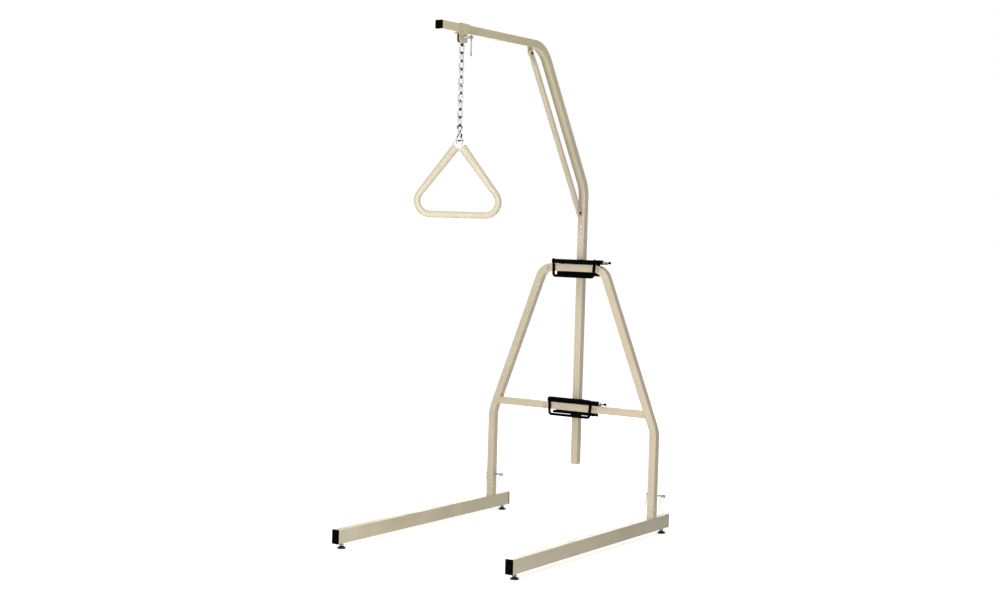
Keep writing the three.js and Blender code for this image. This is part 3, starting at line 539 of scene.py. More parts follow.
enamel = enamel_finish("beige_enamel")
# A darker copy of the beige enamel for the handle: painted shade, so the handle shows less bright than the
# same paint elsewhere.
handle_enamel_shaded = surface(
    "beige_enamel_handle_shaded", (0.628, 0.552, 0.410), (0.598, 0.524, 0.386), (0.42, 0.50), specular=0.3,
    coat=0.05, coat_roughness=0.3, grain=300, grain_strength=0.006,
)
# A darker copy of the beige enamel for the base rails: painted shade.
base_enamel_shaded = enamel_finish(
    "beige_enamel_base_shaded", (0.660, 0.580, 0.405), (0.600, 0.522, 0.358), (0.34, 0.46), 0.03,
    (120, (0.90, 0.87, 0.82), (0.24, 0.34)),
)
post_enamel = enamel_finish("beige_enamel_post")
tint_with_height(post_enamel, 1.15, 1.56, (0.972, 1.0, 0.89))
black_paint = surface(
    "black_enamel", 0.0016, 0.0008, (0.30, 0.44), specular=0.016, marks=(160, 0.5, (0.3, 0.4)),
)
black_plastic = surface(
    "black_plastic", 0.0014, 0.0007, (0.42, 0.6), specular=0.014, grain=2200, grain_strength=0.3,
)
zinc = metal_finish(
    "zinc_plate", (0.46, 0.47, 0.49), (0.16, 0.165, 0.175), (0.16, 0.30), 60,
    marks=(420, (0.7, 0.68, 0.64), (0.3, 0.42)),
)
# Zinc for the chain links, with painted shade at their ends.
link_zinc_end_shade = metal_finish("zinc_link_end_shade", (0.72, 0.73, 0.75), (0.40, 0.41, 0.43), (0.14, 0.28), 160)
paint_shade_at_link_ends(link_zinc_end_shade)
hook_zinc = metal_finish(
    "zinc_hook", (0.52, 0.53, 0.55), (0.12, 0.125, 0.135), (0.14, 0.28), 90,
    marks=(150, 0.04, (0.44, 0.54)),
)
wire_zinc = metal_finish("zinc_wire", 0.80, (0.50, 0.50, 0.51), (0.16, 0.30), 80, 0.12)
bright_plate = metal_finish("bright_plate", 0.95, 0.9, (0.12, 0.22), 60, 0.08)
foot_finish = surface(
    "foot_plastic", 0.012, 0.007, (0.16, 0.3), specular=0.22, grain=1800, grain_strength=0.1,
)
white_plug = surface(
    "white_plastic", (0.93, 0.92, 0.88), (0.88, 0.86, 0.80), (0.4, 0.5), grain=1800,
    grain_strength=0.1,
)
# A dark brown for thin rings of painted shade round the snap buttons and the hole plugs.
rim_painted_shade = surface(
    "rim_painted_shade", (0.150, 0.115, 0.070), (0.070, 0.052, 0.030), (0.6, 0.8), specular=0.2,
    grain_strength=0.2, patch=300,
)
seam_shade = surface(
    "seam_shade", (0.400, 0.360, 0.240), (0.300, 0.265, 0.170), (0.6, 0.8), specular=0.2,
    grain_strength=0.1, patch=300,
)
# A near black for a thin sheet of painted shade inside the gap between the hanger's ears.
gap_painted_shade = surface(
    "gap_painted_shade", (0.030, 0.024, 0.016), (0.012, 0.010, 0.007), (0.7, 0.9), specular=0.1,
    grain_strength=0.2, patch=200,
)
weld = surface(
    "weld_enamel", (0.640, 0.548, 0.392), (0.560, 0.470, 0.330), (0.38, 0.5), specular=0.42,
    grain=420, grain_strength=0.4, patch=90,
)


# Base: flat tubes, caps and levelling feet


def tube_cap(x, y, sign, width, height, z, depth=4.0, edge=1.2, steps=5):
    """A push-in cap with a rounded rim; sign is -1 where its face looks to -Y."""
    outline = [(GAP, 0.0)]
    for k in range(steps + 1):
        a = math.pi / 2 * k / steps
        outline.append((GAP + depth - edge + edge * math.sin(a), edge * (1 - math.cos(a))))
    verts = []
    for out, inset in outline:
        section = square_section(width - 2 * inset, height - 2 * inset, max(CORNER - inset, 0.5))
        verts += [Vector((x + a, y + sign * out, z + b)) for a, b in section]
    return verts, solid_faces(len(outline), len(section))


GLIDE = [
    (0, 0), (12.6, 0), (13.5, 1.0), (13.5, 3.2), (12.2, 4.6), (8.2, 6.2), (6.4, 8.6), (4.0, 8.8), (0, 8.8),
]
GLIDE_NUT = [(0, 9.0), (6.2, 9.0), (6.9, 9.8), (6.9, 12.6), (6.2, 13.2), (0, 13.2)]
for side_name, sign in SIDES.items():
    x = sign * LEG_X
    rail = sweep(
        straight(Y, (x, BASE_FRONT, BASE_MID), (x, BASE_REAR, BASE_MID)),
        square_section(TUBE, BASE_HEIGHT, CORNER), X,
        square_section(TUBE - 2 * WALL, BASE_HEIGHT - 2 * WALL, CORNER - WALL),
    )
    piece(
        f"rail_{side_name}", [rail], base_enamel_shaded, "stand", [f"base_tube_{side_name}"],
        weighted=True,
    )
    for end, y, way, depth in (("front", BASE_FRONT, -1, 4.0), ("rear", BASE_REAR, 1, 6.0)):
        piece(
            f"rail_cap_{end}_{side_name}",
            [tube_cap(x, y, way, TUBE, BASE_HEIGHT, BASE_MID, depth)],
            black_plastic, "stand", [f"base_cap_{end}_{side_name}"], weighted=True,
        )
    for end, y in (("front", BASE_FRONT + 28), ("rear", BASE_REAR - 21)):
        glide = turned(GLIDE, (x, y, 0), Z, 48, soft=0.8)
        nut = turned(GLIDE_NUT, (x, y, 0), Z, HEXAGON)
        stem = threaded((x, y, 8.4), (x, y, 40), *M8_THREAD)
        body = f"foot_{end}_{side_name}"
        piece(
            f"glide_{end}_{side_name}", [glide], foot_finish, body,
            [f"levelling_foot_{end}_{side_name}"],
        )
        piece(f"glide_stem_{end}_{side_name}", [stem, nut], zinc, body)


# Leg frame


def button_hole(level, sign):
    centre = (CROSS_CENTRE[level] + sign * BUTTON_REACH, -7, LEVELS[level] - BUTTON_DROP)
    return turned([(0, 0), (6.4, 0), (6.4, 14), (0, 14)], centre, FRONT, 32)


for side_name, sign in SIDES.items():
    bend_z = LEG_BEND[side_name]
    lean = Vector((LEG_X - abs(SHOULDER[side_name]), 0, LEVELS["upper"] - bend_z)).normalized()
    x = sign * LEG_X
    leg_corners = [
        (x, 0, BASE_TOP + GAP),
        (x, 0, bend_z),
        (SHOULDER[side_name], 0, LEVELS["upper"]),
        (CROSS_CENTRE["upper"] + sign * CROSS_HALF, 0, LEVELS["upper"]),
    ]
    leg = square_tube(leg_corners, [100, 50], Y, 18)
    pin_hole = rod((x - 30, 0, LEG_PIN_Z), (x + 30, 0, LEG_PIN_Z), 3.4)
    piece(
        f"leg_tube_{side_name}", [leg], enamel, "stand", [f"leg_{side_name}"],
        weighted=True, holes=[pin_hole, button_hole("upper", sign)],
    )
    z = LEVELS["lower"]
    meet = LEG_X - (z - bend_z) / lean.z * lean.x
    inner_end = CROSS_CENTRE["lower"] + sign * CROSS_HALF
    stub = square_tube([(sign * meet, 0, z), (inner_end, 0, z)], 0, Y)
    for v in stub[0]:
        if abs(v.x) > meet - 1:
            v.x = sign * (meet - HALF / lean.z - (v.z - z) * lean.x / lean.z)
    piece(
        f"stub_tube_{side_name}", [stub], enamel, "stand",
        [f"crossbar_stub_{side_name}"], weighted=True, holes=[button_hole("lower", sign)],
    )
    seam = []
    for a, b in square_section(TUBE, TUBE, CORNER, 4):
        face = meet - HALF / lean.z - b * lean.x / lean.z
        seam.append((sign * (face - 0.4), a, z + b))
    piece(
        f"stub_weld_{side_name}", [bead(seam, 1.5, (lean.z * sign, 0, lean.x))], weld, "stand",
    )

BUTTON = [(0, 8), (6.7, 8), (6.7, 8.9), (5.2, 8.9), (5.2, 13.6), (4.5, 14.7), (2.6, 15.2), (0, 15.3)]
for level, z in LEVELS.items():
    centre = CROSS_CENTRE[level]
    span = CROSS_HALF - GAP
    middle = square_tube([(centre - span, 0, z), (centre + span, 0, z)], 0, Y)
    plugs = [
        square_tube(
            [(centre + s * 45, 0, z), (centre + s * 84, 0, z)], 0, Y, size=TUBE - 2 * WALL - 0.8,
        )
        for s in (-1, 1)
    ]
    piece(
        f"crossbar_middle_{level}", [middle, *plugs], enamel, "stand",
        [f"crossbar_{level}"], weighted=True,
    )
    for side_name, sign in SIDES.items():
        button_x, button_z = centre + sign * BUTTON_REACH, z - BUTTON_DROP
        dome = turned(BUTTON, (button_x, 0, button_z), FRONT, 36, soft=0.5)
        piece(
            f"button_{level}_{side_name}", [dome], enamel, f"button_{level}_{side_name}",
            [f"snap_button_{level}_{side_name}"],
        )
        # A ring of painted shade round the button's head.
        rim = ring(5.95, 0.65, (button_x, -12.35, button_z), Y, 40, 10)
        piece(f"button_rim_{level}_{side_name}", [rim], rim_painted_shade, "stand")


# Locking pins and their wire loops

PIN_BACK = -23.0
KNOB_AT = 43.0
KNOB_RADIUS = 5.4
LOOP_WIRE = 1.25
LOOP_REACH = 47.0
for side_name, sign in SIDES.items():
    x = sign * LEG_X
    centre = Vector((x, 0, LEG_PIN_Z))
    shaft_profile = [(0, PIN_BACK), (2.2, PIN_BACK), (3.0, -21.6), (3.0, 38), (0, 38)]
    shaft = turned(shaft_profile, centre, X, soft=0.4, segments=28)
    knob = ball((x + KNOB_AT, 0, LEG_PIN_Z), KNOB_RADIUS, X)
    neck = turned([(3.0, 34), (3.9, 36), (3.9, 39.5), (3.0, 40)], centre, X, 28, soft=0.5)
    collar = turned([(3.0, 13.0), (7.0, 13.0), (7.0, 15.0), (3.0, 15.0)], centre, X, 36, soft=0.5)
    piece(
        f"lock_pin_{side_name}", [shaft, neck, knob, collar], zinc, "stand",
        [f"leg_pin_{side_name}"],
    )
    eye = 3.0 + 0.4 + LOOP_WIRE
    forward = HALF + GAP + LOOP_WIRE
    drop = math.sqrt(LOOP_REACH ** 2 - forward ** 2)
    hang = Vector((0, -forward, -drop)) / LOOP_REACH
    left, right = x + PIN_BACK + 4, x + KNOB_AT - KNOB_RADIUS - 4
    corners = [
        Vector((at, 0, LEG_PIN_Z)) + hang * reach
        for at, reach in ((left, eye), (left, LOOP_REACH), (right, LOOP_REACH), (right, eye))
    ]
    loop = wire(corners, 4, LOOP_WIRE, Vector(X).cross(hang))
    eyes = [ring(eye, LOOP_WIRE, (at, 0, LEG_PIN_Z), X, 32, 12) for at in (left, right)]
    piece(
        f"lock_loop_{side_name}", [loop, *eyes], wire_zinc, f"loop_{side_name}",
        [f"leg_pin_loop_{side_name}"],
    )


# Post, arm and brace

upper_bolt = Vector((0, -327, ARM_LOW - 18.5))
lower_bolt = Vector((0, POST_FRONT - 20.5, 1061))
post_corners = [(0, POST_Y, 203.7), (0, POST_Y, 1145), (0, -255, ARM_Z), (0, ARM_END, ARM_Z)]
hole_heights = [871.7 + 35.9 * k for k in range(5)]
post_holes = [
    turned([(0, 0), (6.0, 0), (6.0, 12), (0, 12)], (0, POST_FRONT + 6, h), FRONT, 36)
    for h in hole_heights
]
piece(
    "post_tube", [square_tube(post_corners, [100, 100], X, 22)], post_enamel, "post",
    ["post_arm"], weighted=True, holes=post_holes,
)
for k, reach in enumerate((776, 656)):
    stop_profile = [(3.0, -1), (3.0, 1.0), (2.2, 1.8), (0, 2.0)]
    stop = turned(stop_profile, (0, -reach, ARM_Z + HALF), Z, 28, soft=0.4)
    piece(f"stop_button_{k + 1}", [stop], post_enamel, "post")
for k, h in enumerate(hole_heights[1:], 1):
    plug_profile = [(0, -2.6), (5.1, -2.6), (5.1, -0.1), (4.8, 0.12), (0, 0.2)]
    plug = turned(plug_profile, (0, POST_FRONT, h), FRONT, 36, soft=0.1)
    piece(f"hole_plug_{k}", [plug], white_plug, "post")
    # A ring of painted shade round the plug's rim.
    rim = ring(5.6, 0.5, (0, POST_FRONT + 0.25, h), Y, 40, 10)
    piece(f"hole_rim_{k}", [rim], rim_painted_shade, "post")


def lug(*outline):
    """A plate that stands out from the tube, from its (y, z) outline."""
    return slab([(LUG_FACE, y, z) for y, z in outline], (-1, 0, 0), LUG_THICKNESS, 0.5)


def lug_seam(start, end, normal):
    near, far = LUG_FACE + 0.4, LUG_FACE - LUG_THICKNESS - 0.4
    return bead([(near, *start), (near, *end), (far, *end), (far, *start)], 1.0, normal)


LUG_FACE = 1.5
LUG_THICKNESS = 3.0
BRACE_X = 4.8
y, z = upper_bolt.yz
upper_lug = lug(
    (y - 13, ARM_LOW + 0.6), (y - 13, z + 2), (y - 7, z - 8), (y + 7, z - 8), (y + 13, z + 2),
    (y + 13, ARM_LOW + 0.6),
)
upper_seam = lug_seam((y - 13.4, ARM_LOW - 0.2), (y + 13.4, ARM_LOW - 0.2), Z)
y, z = lower_bolt.yz
lower_lug = lug(
    (POST_FRONT + 0.6, z - 13), (y + 2, z - 13), (y - 8, z - 7), (y - 8, z + 7), (y + 2, z + 13),
    (POST_FRONT + 0.6, z + 13),
)
lower_seam = lug_seam((POST_FRONT - 0.2, z - 13.4), (POST_FRONT - 0.2, z + 13.4), Y)
piece("brace_lugs", [upper_lug, lower_lug], post_enamel, "post")
piece("lug_welds", [upper_seam, lower_seam], weld, "post")
piece(
    "arm_tip_cap", [tube_cap(0, ARM_END, -1, TUBE, TUBE, ARM_Z)], black_plastic, "post",
    ["arm_cap"], weighted=True,
)


def brace_shape(radius=9.5, flat_width=12.0, flat_thick=3.0, flat=26.0, blend=34.0, overhang=11.0):
    """A round tube whose two ends are pressed flat, with a rounded end outline."""
    axis = (upper_bolt - lower_bolt).normalized()
    across = Vector((0, -axis.z, axis.y))
    start = lower_bolt - axis * overhang + Vector((BRACE_X, 0, 0))
    length = (upper_bolt - lower_bolt).length + 2 * overhang
    sides = 40
    steps = 14
    distances = [0, 0.6, 1.6, 3.2, 5.5, 8.5, 12, flat]
    distances += [flat + blend * k / steps for k in range(1, steps + 1)]
    distances += [length - d for d in reversed(distances)]
    verts = []
    for d in distances:
        inside = min(d, length - d)
        t = min(max((inside - flat) / blend, 0), 1)
        share = t * t * (3 - 2 * t)
        wide = flat_width + (radius - flat_width) * share
        thick = flat_thick + (radius - flat_thick) * share
        power = 5 - 3 * share
        if inside < 12:
            wide *= math.sqrt(max(1 - ((12 - inside) / 12.6) ** 2, 0.02))
        for c, s in circle_points(sides):
            u = math.copysign(abs(c) ** (2 / power), c) * wide
            w = math.copysign(abs(s) ** (2 / power), s) * thick
            verts.append(start + axis * d + across * u + Vector((w, 0, 0)))
    return verts, solid_faces(len(distances), sides)


piece("brace_tube", [brace_shape()], post_enamel, "post", ["brace"], weighted=True)
BOLT_HEAD = [(0, 8.1), (4.6, 8.1), (4.6, 9.0), (3.4, 10.3), (0, 10.7)]
BOLT_NUT = [(0, 1.8), (4.3, 1.8), (4.7, 2.2), (4.7, 4.1), (4.3, 4.5), (0, 4.5)]
for level, at in (("upper", upper_bolt), ("lower", lower_bolt)):
    head = turned(BOLT_HEAD, at, X, 32, soft=0.5)
    nut = turned(BOLT_NUT, at, (-1, 0, 0), HEXAGON)
    tip = threaded(at + Vector((-1.6, 0, 0)), at + Vector((-6.2, 0, 0)), 2.8, 1.0, 0.35)
    piece(
        f"brace_screw_{level}", [head, nut, tip], black_paint, "post",
        [f"brace_bolt_{level}"],
    )


# Brackets: channel over the crossbar, hinge, bail and the sleeve round the post

BRACKETS = {
    "lower": {
        "web_right": 95.0, "web_depth": 12.0, "plate_top": -1.0, "plate_depth": 9.3,
        "barrel": 8.9, "barrel_lift": 1.3, "bail_right": 1.2,
    },
    "upper": {
        "web_right": 84.0, "web_depth": 12.5, "plate_top": 1.0, "plate_depth": 11.0,
        "barrel": 7.6, "barrel_lift": 0.0, "bail_right": 0.0,
    },
}
BRACKET_LEFT, BRACKET_RIGHT = -68.0, 114.0
SHEET = 4.0
WEB_FRONT = HALF + 0.7
WEB_BACK = WEB_FRONT + 5
SHEET_BACK = WEB_BACK - 0.4
BARREL_LEFT, BARREL_LENGTH = -73.3, 149.7
PIN_Y = -18.0
PIN_RISE = 6.75
BAIL_WIRE = 4.8
LEVER_TILT = math.radians(25)
SLEEVE_HEIGHTS = (-31, -30.2, 23.2, 24)
PULL_PIN = [(0, -84), (2.2, -84), (2.8, -83.2), (2.8, 135.6), (0, 136)]
PULL_COLLAR = [(2.2, 135.4), (3.4, 135.6), (3.4, 137.4), (2.4, 138)]
GRIP = [(0, 4), (8.4, 4), (11.4, 6.4), (12, 8), (12, 13.4), (11.0, 15.4), (8.6, 16), (0, 16)]
FLUTES = 8


def eased(amount):
    """The scale of a sweep with four stations whose first and last are a little smaller."""
    return lambda i: 1 - amount if i in (0, 3) else 1


for level, z in LEVELS.items():
    shape = BRACKETS[level]
    top = z + HALF + 1.6
    bottom = z - HALF - 1.6
    axis_z = top + PIN_RISE
    left, right, web_right = BRACKET_LEFT, BRACKET_RIGHT, shape["web_right"]
    channel = [
        block((left, WEB_FRONT, bottom - shape["web_depth"]), (web_right, WEB_BACK, top + 3.6), 0.8),
        block((left, PIN_Y, top), (75.5, SHEET_BACK, top + SHEET), 0.8),
        block((74, -4, top), (90, SHEET_BACK, top + SHEET), 0.8),
        block((88.5, PIN_Y, top), (right, SHEET_BACK, top + SHEET), 0.8),
        block(
            (left, -HALF - 0.3, bottom - shape["plate_depth"]),
            (web_right, SHEET_BACK, bottom + shape["plate_top"]), 0.8,
        ),
    ]
    radius, length = shape["barrel"], BARREL_LENGTH
    barrel_profile = [
        (4.2, 0), (radius - 0.6, 0), (radius, 0.6), (radius, length - 0.6), (radius - 0.6, length),
        (4.2, length),
    ]
    barrel = turned(barrel_profile, (BARREL_LEFT, PIN_Y, axis_z + shape["barrel_lift"]), X, 44, soft=0.4)
    end = block(
        (87, PIN_Y - PIN_RISE, axis_z - PIN_RISE), (right, PIN_Y + PIN_RISE, axis_z + PIN_RISE + 1.5), 1.0,
    )
    piece(
        f"bracket_channel_{level}", [*channel, barrel, end], black_paint, "stand",
        [f"bracket_{level}"], weighted=True,
    )
    sleeve = sweep(
        straight(Z, *((0, POST_Y, z + h) for h in SLEEVE_HEIGHTS)),
        square_section(34.2, 34.2, 4.0), X, square_section(26.2, 26.2, 1.2), grow=eased(0.012),
    )
    boss_profile = [(4.5, 15), (9, 15), (9, 24.6), (8.4, 25.1), (4.5, 25.1)]
    boss = turned(boss_profile, (0, POST_Y, z), Y, 36, soft=0.4)
    seams = [
        bead(
            [(s * x, y, z + h) for x, y, h in
             ((17.2, 18.6, -28), (17.2, 18.6, 20), (17.6, 18.2, 20), (17.6, 18.2, -28))],
            1.3, (1, -s, 0),
        )
        for s in (-1, 1)
    ]
    piece(
        f"post_sleeve_{level}", [sleeve, boss, *seams], black_paint, "stand",
        weighted=True,
    )

    pin = turned(PULL_PIN, (0, PIN_Y, axis_z), X, 28, soft=0.3)
    tilt = Vector((math.sin(LEVER_TILT), 0, math.cos(LEVER_TILT))) * 8
    centre = Vector((121, PIN_Y, axis_z))
    lever = rod(centre - tilt, centre + tilt, 1.2, 0.3)
    piece(
        f"pull_pin_{level}", [pin, lever], zinc, f"hinge_pin_{level}", [f"hinge_pin_{level}"],
    )
    knob = ball((141.1, PIN_Y, axis_z), 4.8, X)
    collar = turned(PULL_COLLAR, (0, PIN_Y, axis_z), X, 28, soft=0.3)
    piece(
        f"pull_ball_{level}", [knob, collar], black_plastic, f"hinge_pin_{level}",
        [f"hinge_pin_ball_{level}"],
    )

    bail_top, bail_low = axis_z - 6.6, z - 28.8
    corners = [
        (-78.4, PIN_Y, bail_top),
        (-77.4, PIN_Y, bail_low),
        (78 + shape["bail_right"], PIN_Y, bail_low),
        (81.7 + shape["bail_right"], PIN_Y, bail_top),
    ]
    bail = wire(corners, 8, BAIL_WIRE, Y)
    eyes = [ring(6.6, 3.4, (x, PIN_Y, axis_z), X, 40, 16) for x in (-79, 82)]
    piece(
        f"bail_wire_{level}", [bail, *eyes], black_paint, f"bail_{level}",
        [f"bail_{level}"],
    )

    seat = POST_Y + 17.1 + 8
    screw = threaded((0, POST_Y + HALF + GAP, z), (0, seat + 5, z), *M8_THREAD)
    grip, grip_faces = turned(GRIP, (0, seat, z), Y, 72, soft=0.9)
    for v in grip:
        across, rise = v.x, v.z - z
        ridge = max(0.0, math.cos(math.atan2(rise, across) * FLUTES)) ** 2
        flute = 1 - 0.07 * ridge * min(1, math.hypot(across, rise) / 9)
        v.x = across * flute
        v.z = z + rise * flute
    piece(
        f"clamp_grip_{level}", [(grip, grip_faces)], black_plastic, f"post_screw_{level}",
        [f"post_screw_{level}"],
    )
    piece(f"clamp_screw_{level}", [screw], zinc, f"post_screw_{level}")


# Hanger: strap round the arm, ears, clamp screw and tommy bar

strap_inner = 2 * (HALF + 0.4)
strap_outer = strap_inner + 5
strap_low, strap_high = HANGER_Y - 20.5, HANGER_Y + 20.5
strap_bore = square_section(strap_inner, strap_inner, 2.0)
strap = sweep(
    straight(Y, *((0, y, ARM_Z) for y in (strap_low, strap_low + 0.5, strap_high - 0.5, strap_high))),
    square_section(strap_outer, strap_outer, 4.2), X, strap_bore, grow=eased(0.014),
)
# A thin ring of painted shade at the strap's front edge, where the strap meets the arm.
seam = sweep(
    straight(Y, (0, strap_low - 0.35, ARM_Z), (0, strap_low + 0.2, ARM_Z)),
    square_section(strap_outer - 0.6, strap_outer - 0.6, 4.0), X, strap_bore,
)
piece("strap_edge_painted_shade", [seam], seam_shade, "hanger")
strap_bottom = ARM_Z - strap_outer / 2
ear_bottom = strap_bottom - 25.5
ear_outline = [
    (strap_low, strap_bottom + 1.4),
    (strap_low, ear_bottom + 7),
    (strap_low + 2.2, ear_bottom + 2.2),
    (strap_low + 7, ear_bottom),
    (strap_high - 7, ear_bottom),
    (strap_high - 2.2, ear_bottom + 2.2),
    (strap_high, ear_bottom + 7),
    (strap_high, strap_bottom + 1.4),
]
ears = [slab([(s * 3.0, y, z) for y, z in ear_outline], (s, 0, 0), 2.5, 0.4) for s in (-1, 1)]
# A thin sheet of painted shade on the inner face of the far ear, where the gap between the ears lies in
# shade.
ear_gap_shade = slab([(-2.84, y, z) for y, z in ear_outline], (-1, 0, 0), 0.14, 0.05)
piece("ear_gap_painted_shade", [ear_gap_shade], gap_painted_shade, "hanger")
screw_z = strap_bottom - 10.5
nut_profile = [(3.2, 0), (6.0, 0), (6.5, 0.5), (6.5, 4.4), (6.0, 5.0), (3.2, 5.0)]
weld_nut = turned(nut_profile, (-5.4, HANGER_Y, screw_z), (-1, 0, 0), HEXAGON)
piece(
    "hanger_strap", [strap, *ears, weld_nut], post_enamel, "hanger", ["hanger_clamp"],
    weighted=True,
)
BAR_X = 34.0
BAR_LENGTH = 62.0
shaft = rod((-13.4, HANGER_Y, screw_z), (29.6, HANGER_Y, screw_z), 3.0, 0.4)
thread = threaded((5.6, HANGER_Y, screw_z), (29.4, HANGER_Y, screw_z), 3.05, 1.0, 0.3)
head_profile = [(0, 29), (4.4, 29), (5, 29.6), (5, 38.3), (4.3, 39), (0, 39)]
head = turned(head_profile, (0, HANGER_Y, screw_z), X, 36, soft=0.4)
piece(
    "hanger_bolt", [shaft, thread, head], zinc, "hanger_screw", ["hanger_screw"],
    holes=[rod((BAR_X, HANGER_Y, screw_z - 20), (BAR_X, HANGER_Y, screw_z + 20), 2.2)],
)
bar_top = screw_z + 8.3
bar_low = bar_top - BAR_LENGTH
bar = rod((BAR_X, HANGER_Y, bar_low), (BAR_X, HANGER_Y, bar_top), 1.9, 0.3)
knobs = [ball((BAR_X, HANGER_Y, h), 3.0, squash=0.9) for h in (bar_top, bar_low)]
piece("tommy_rod", [bar, *knobs], zinc, "tommy_bar", ["tommy_bar"])


# Chain, hook and handle

LINKS = 11
LINK_WIRE = 2.4
LINK_INSIDE = (8.6, 24.3)
HOOK_WIRE = 2.5


def at_hanger(turn, height=0.0):
    """The matrix that moves a shape to the hanger's axis, turned about it."""
    return Matrix.Translation((0, HANGER_Y, height)) @ Matrix.Rotation(turn, 4, "Z")


def link_shape(centre_z, turn, arc=12, side_steps=8):
    """An oval link of round wire with the swelling of its weld on one straight side."""
    bend = LINK_INSIDE[0] / 2 + LINK_WIRE
    reach = LINK_INSIDE[1] / 2 + LINK_WIRE - bend
    stations = []
    for first_angle, shift, side in ((0, reach, -bend), (math.pi, -reach, bend)):
        for k in range(arc + 1):
            a = first_angle + math.pi * k / arc
            place = Vector((0, bend * math.cos(a), bend * math.sin(a) + shift))
            stations.append((place, Vector((0, -math.sin(a), math.cos(a)))))
        direction = Vector((0, 0, math.copysign(1, -shift)))
        for k in range(1, side_steps):
            stations.append((Vector((0, side, shift - shift * 2 * k / side_steps)), direction))
    weld_at = arc + side_steps // 2

    def grow(i):
        away = min(abs(i - weld_at), len(stations) - abs(i - weld_at))
        return 1 + 0.13 * max(0, 1 - away / 2.2)

    shape = sweep(stations, round_section(LINK_WIRE, 16), X, closed=True, grow=grow)
    return moved(shape, at_hanger(turn, centre_z))


for i in range(LINKS):
    shape = link_shape(CHAIN_TOP - PITCH * (i + 0.5), math.pi / 2 if i % 2 else 0)
    piece(
        f"link_wire_{i + 1:02d}", [shape], link_zinc_end_shade, f"link_{i + 1:02d}",
        [f"chain_link_{i + 1:02d}"],
    )

hook_top = CHAIN_TOP - PITCH * LINKS + 0.15 + HOOK_WIRE
hook_bottom = hook_top - 49.5
bend = 8.5
hook_corners = [
    (-bend, 0, hook_top - bend - 14),
    (-bend, 0, hook_top),
    (bend, 0, hook_top),
    (bend, 0, hook_top - bend - 5.5),
    (-bend, 0, hook_bottom + bend + 5.5),
    (-bend, 0, hook_bottom),
    (bend, 0, hook_bottom),
    (bend, 0, hook_bottom + bend + 14),
]
hook = wire(hook_corners, [bend, bend, 7, 7, bend, bend], HOOK_WIRE, Y, 12, 20)
piece("hook_wire", [moved(hook, at_hanger(math.radians(-11)))], hook_zinc, "hook", ["s_hook"])

yaw = at_hanger(math.radians(34))
seat_z = hook_bottom + HOOK_WIRE + 0.6
plate_top = seat_z + 9.7
corner_z = seat_z - 12.3
plate_outline = [
    (-5, plate_top - 0.5),
    (-4.2, plate_top),
    (4.2, plate_top),
    (5, plate_top - 0.5),
    (17.5, corner_z),
    (0, seat_z - 33.3),
    (-17.5, corner_z),
]
plate = slab([(x, -1.5, z) for x, z in plate_outline], Y, 3.0, 0.35)
hole_outline = [(x, seat_z - 6.5 + z) for x, z in square_section(18, 13, 2.5, 4)]
plate_hole = [Vector((x, y, z)) for y in (-6.0, 6.0) for x, z in hole_outline]
piece(
    "hanger_plate", [moved(plate, yaw)], bright_plate, "handle", ["handle_plate"],
    holes=[moved((plate_hole, solid_faces(2, len(hole_outline))), yaw)],
)
plate_rims = []
for y in (-1.7, 1.7):
    for outline in (plate_outline, hole_outline):
        rim = bead([(x, y, z) for x, z in outline], 1.1, Y, ripple=0)
        plate_rims.append(moved(rim, yaw))
piece("hanger_plate_rims", plate_rims, zinc, "handle")

HANDLE_HALF = 162.4
HANDLE_RISE = 216.0
FLARE = 42.0
WIDER, FLATTER = 0.32, 0.45
bar_z = seat_z - 224.4
slope = Vector((HANDLE_HALF, 0, -HANDLE_RISE)).normalized()
start = Vector((0, 0, bar_z + HANDLE_RISE)) + slope * 13.0
handle_corners = [
    (-start.x, 0, start.z),
    (-HANDLE_HALF, 0, bar_z),
    (HANDLE_HALF, 0, bar_z),
    (start.x, 0, start.z),
]
tube = sweep(bent_path(handle_corners, 40, 22), round_section(9.45, 40), Y, round_section(7.9, 40))
for v in tube[0]:
    down = Vector((math.copysign(slope.x, v.x), 0, slope.z))
    from_end = v - Vector((math.copysign(start.x, v.x), 0, start.z))
    along = from_end.dot(down)
    if along < FLARE and v.z > bar_z + 60:
        share = ((FLARE - along) / FLARE) ** 2.4
        across = from_end - down * along
        v.x += across.x * WIDER * share
        v.z += across.z * WIDER * share
        v.y *= 1 - FLATTER * share
piece(
    "handle_bent_tube", [moved(tube, yaw)], handle_enamel_shaded, "handle", ["handle_tube"],
)
plate_seams = []
for s in (-1, 1):
    direction = Vector((s * slope.x, 0, slope.z))
    at = Vector((s * start.x, 0, start.z)) + direction * 0.6
    across = Vector(Y).cross(direction)
    outline = [at + Vector(Y) * c * 5.3 + across * r * 13.1 for c, r in circle_points(28)]
    plate_seams.append(moved(bead(outline, 1.0, direction), yaw))
piece("handle_welds", plate_seams, bright_plate, "handle")


# Solids that show as they are

for side_name in SIDES:
    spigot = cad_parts[f"base_spigot_{side_name}"]
    spigot.data.materials.clear()
    spigot.data.materials.append(enamel)


# Floor, light and camera


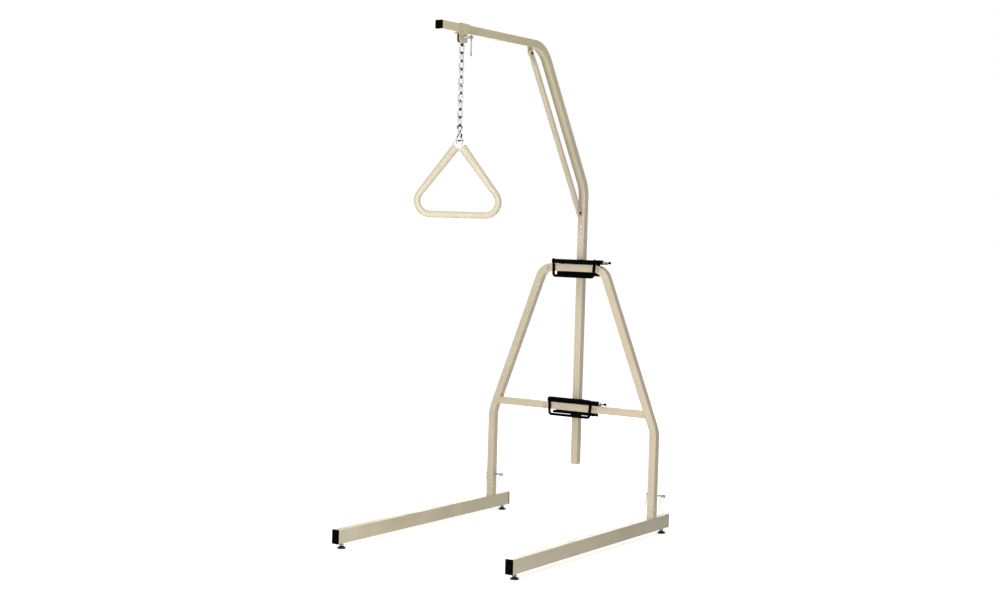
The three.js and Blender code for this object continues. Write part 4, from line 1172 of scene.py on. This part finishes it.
def stage_material():
    """White to the camera and in reflections, and a pale floor for the shadows."""
    material = bpy.data.materials.new("pale_floor")
    material.use_nodes = True
    tree = material.node_tree
    tree.nodes.remove(tree.nodes["Principled BSDF"])
    diffuse = node(tree, "ShaderNodeBsdfDiffuse", Color=(0.86, 0.86, 0.85, 1))
    glow = node(tree, "ShaderNodeEmission", Color=(1, 1, 1, 1))
    path = tree.nodes.new("ShaderNodeLightPath")
    seen = arithmetic(tree, "MAXIMUM", path.outputs["Is Camera Ray"], path.outputs["Is Glossy Ray"])
    coords = tree.nodes.new("ShaderNodeTexCoord")
    reach = tree.nodes.new("ShaderNodeVectorMath")
    reach.operation = "LENGTH"
    tree.links.new(coords.outputs["Object"], reach.inputs[0])
    far_glow = map_range(
        tree, reach.outputs["Value"], From_Min=0.8, From_Max=5.0, To_Min=0.66, To_Max=0.92,
    )
    tree.links.new(arithmetic(tree, "MULTIPLY", seen, far_glow), glow.inputs["Strength"])
    both = tree.nodes.new("ShaderNodeAddShader")
    tree.links.new(diffuse.outputs[0], both.inputs[0])
    tree.links.new(glow.outputs[0], both.inputs[1])
    tree.links.new(both.outputs[0], tree.nodes["Material Output"].inputs["Surface"])
    return material


FAR = 40.0
floor_mesh = bpy.data.meshes.new("floor")
floor_mesh.from_pydata(
    [(-FAR, -FAR, 0), (FAR, -FAR, 0), (FAR, FAR, 0), (-FAR, FAR, 0)], [], [(0, 1, 2, 3)],
)
floor = add_object("floor", floor_mesh)
floor.data.materials.append(stage_material())

world = bpy.data.worlds.new("studio")
bpy.context.scene.world = world
world.use_nodes = True
tree = world.node_tree
tree.nodes.clear()
output = tree.nodes.new("ShaderNodeOutputWorld")
path = tree.nodes.new("ShaderNodeLightPath")
soft = node(tree, "ShaderNodeBackground", Color=(0.97, 1.0, 1.04, 1), Strength=0.19)
white = node(tree, "ShaderNodeBackground", Color=(1, 1, 1, 1), Strength=1.0)
seen = arithmetic(tree, "MAXIMUM", path.outputs["Is Camera Ray"], path.outputs["Is Glossy Ray"])
seen = arithmetic(tree, "MAXIMUM", seen, path.outputs["Is Transmission Ray"])
mix = tree.nodes.new("ShaderNodeMixShader")
tree.links.new(seen, mix.inputs["Fac"])
tree.links.new(soft.outputs[0], mix.inputs[1])
tree.links.new(white.outputs[0], mix.inputs[2])
tree.links.new(mix.outputs[0], output.inputs["Surface"])


def area_light(name, place, target, size, power):
    lamp = bpy.data.lights.new(name, "AREA")
    lamp.shape = "SQUARE"
    lamp.size = size
    lamp.energy = power
    made = add_object(name, lamp)
    made.location = place
    made.rotation_mode = "QUATERNION"
    made.rotation_quaternion = (Vector(target) - Vector(place)).to_track_quat("-Z", "Y")
    made.visible_camera = False


area_light("low_front", (0.6, -2.1, 0.75), (0.0, 0.2, 0.6), 0.7, 32)
area_light("high", (1.0, -1.2, 4.0), (0.0, 0.1, 0.5), 1.7, 47)
area_light("back_fill", (-2.0, 3.4, 1.6), (0.0, 0.1, 0.8), 2.0, 42)

SENSOR = 36.0
FOCAL_SHARE = 1.54834
CAMERA_PLACE = Vector((2704.4, -4507.3, 1003.6))
azimuth, pitch, roll = (math.radians(v) for v in (33.74, 2.67, 1.64))
camera_data = bpy.data.cameras.new("camera")
camera_data.sensor_width = SENSOR
camera_data.lens = FOCAL_SHARE * SENSOR
camera_data.clip_start = 0.1
camera_data.clip_end = 100
camera = add_object("camera", camera_data)
forward = Vector(
    (-math.sin(azimuth) * math.cos(pitch), math.cos(azimuth) * math.cos(pitch), -math.sin(pitch))
)
flat = Vector((math.cos(azimuth), math.sin(azimuth), 0))
upward = flat.cross(forward)
right_axis = flat * math.cos(roll) + upward * math.sin(roll)
up_axis = upward * math.cos(roll) - flat * math.sin(roll)
pose = Matrix((right_axis, up_axis, -forward)).transposed().to_4x4()
pose.translation = (CAMERA_PLACE + SHIFT) * MM
camera.matrix_world = pose
bpy.context.scene.camera = camera
bpy.context.scene.view_settings.view_transform = "Standard"
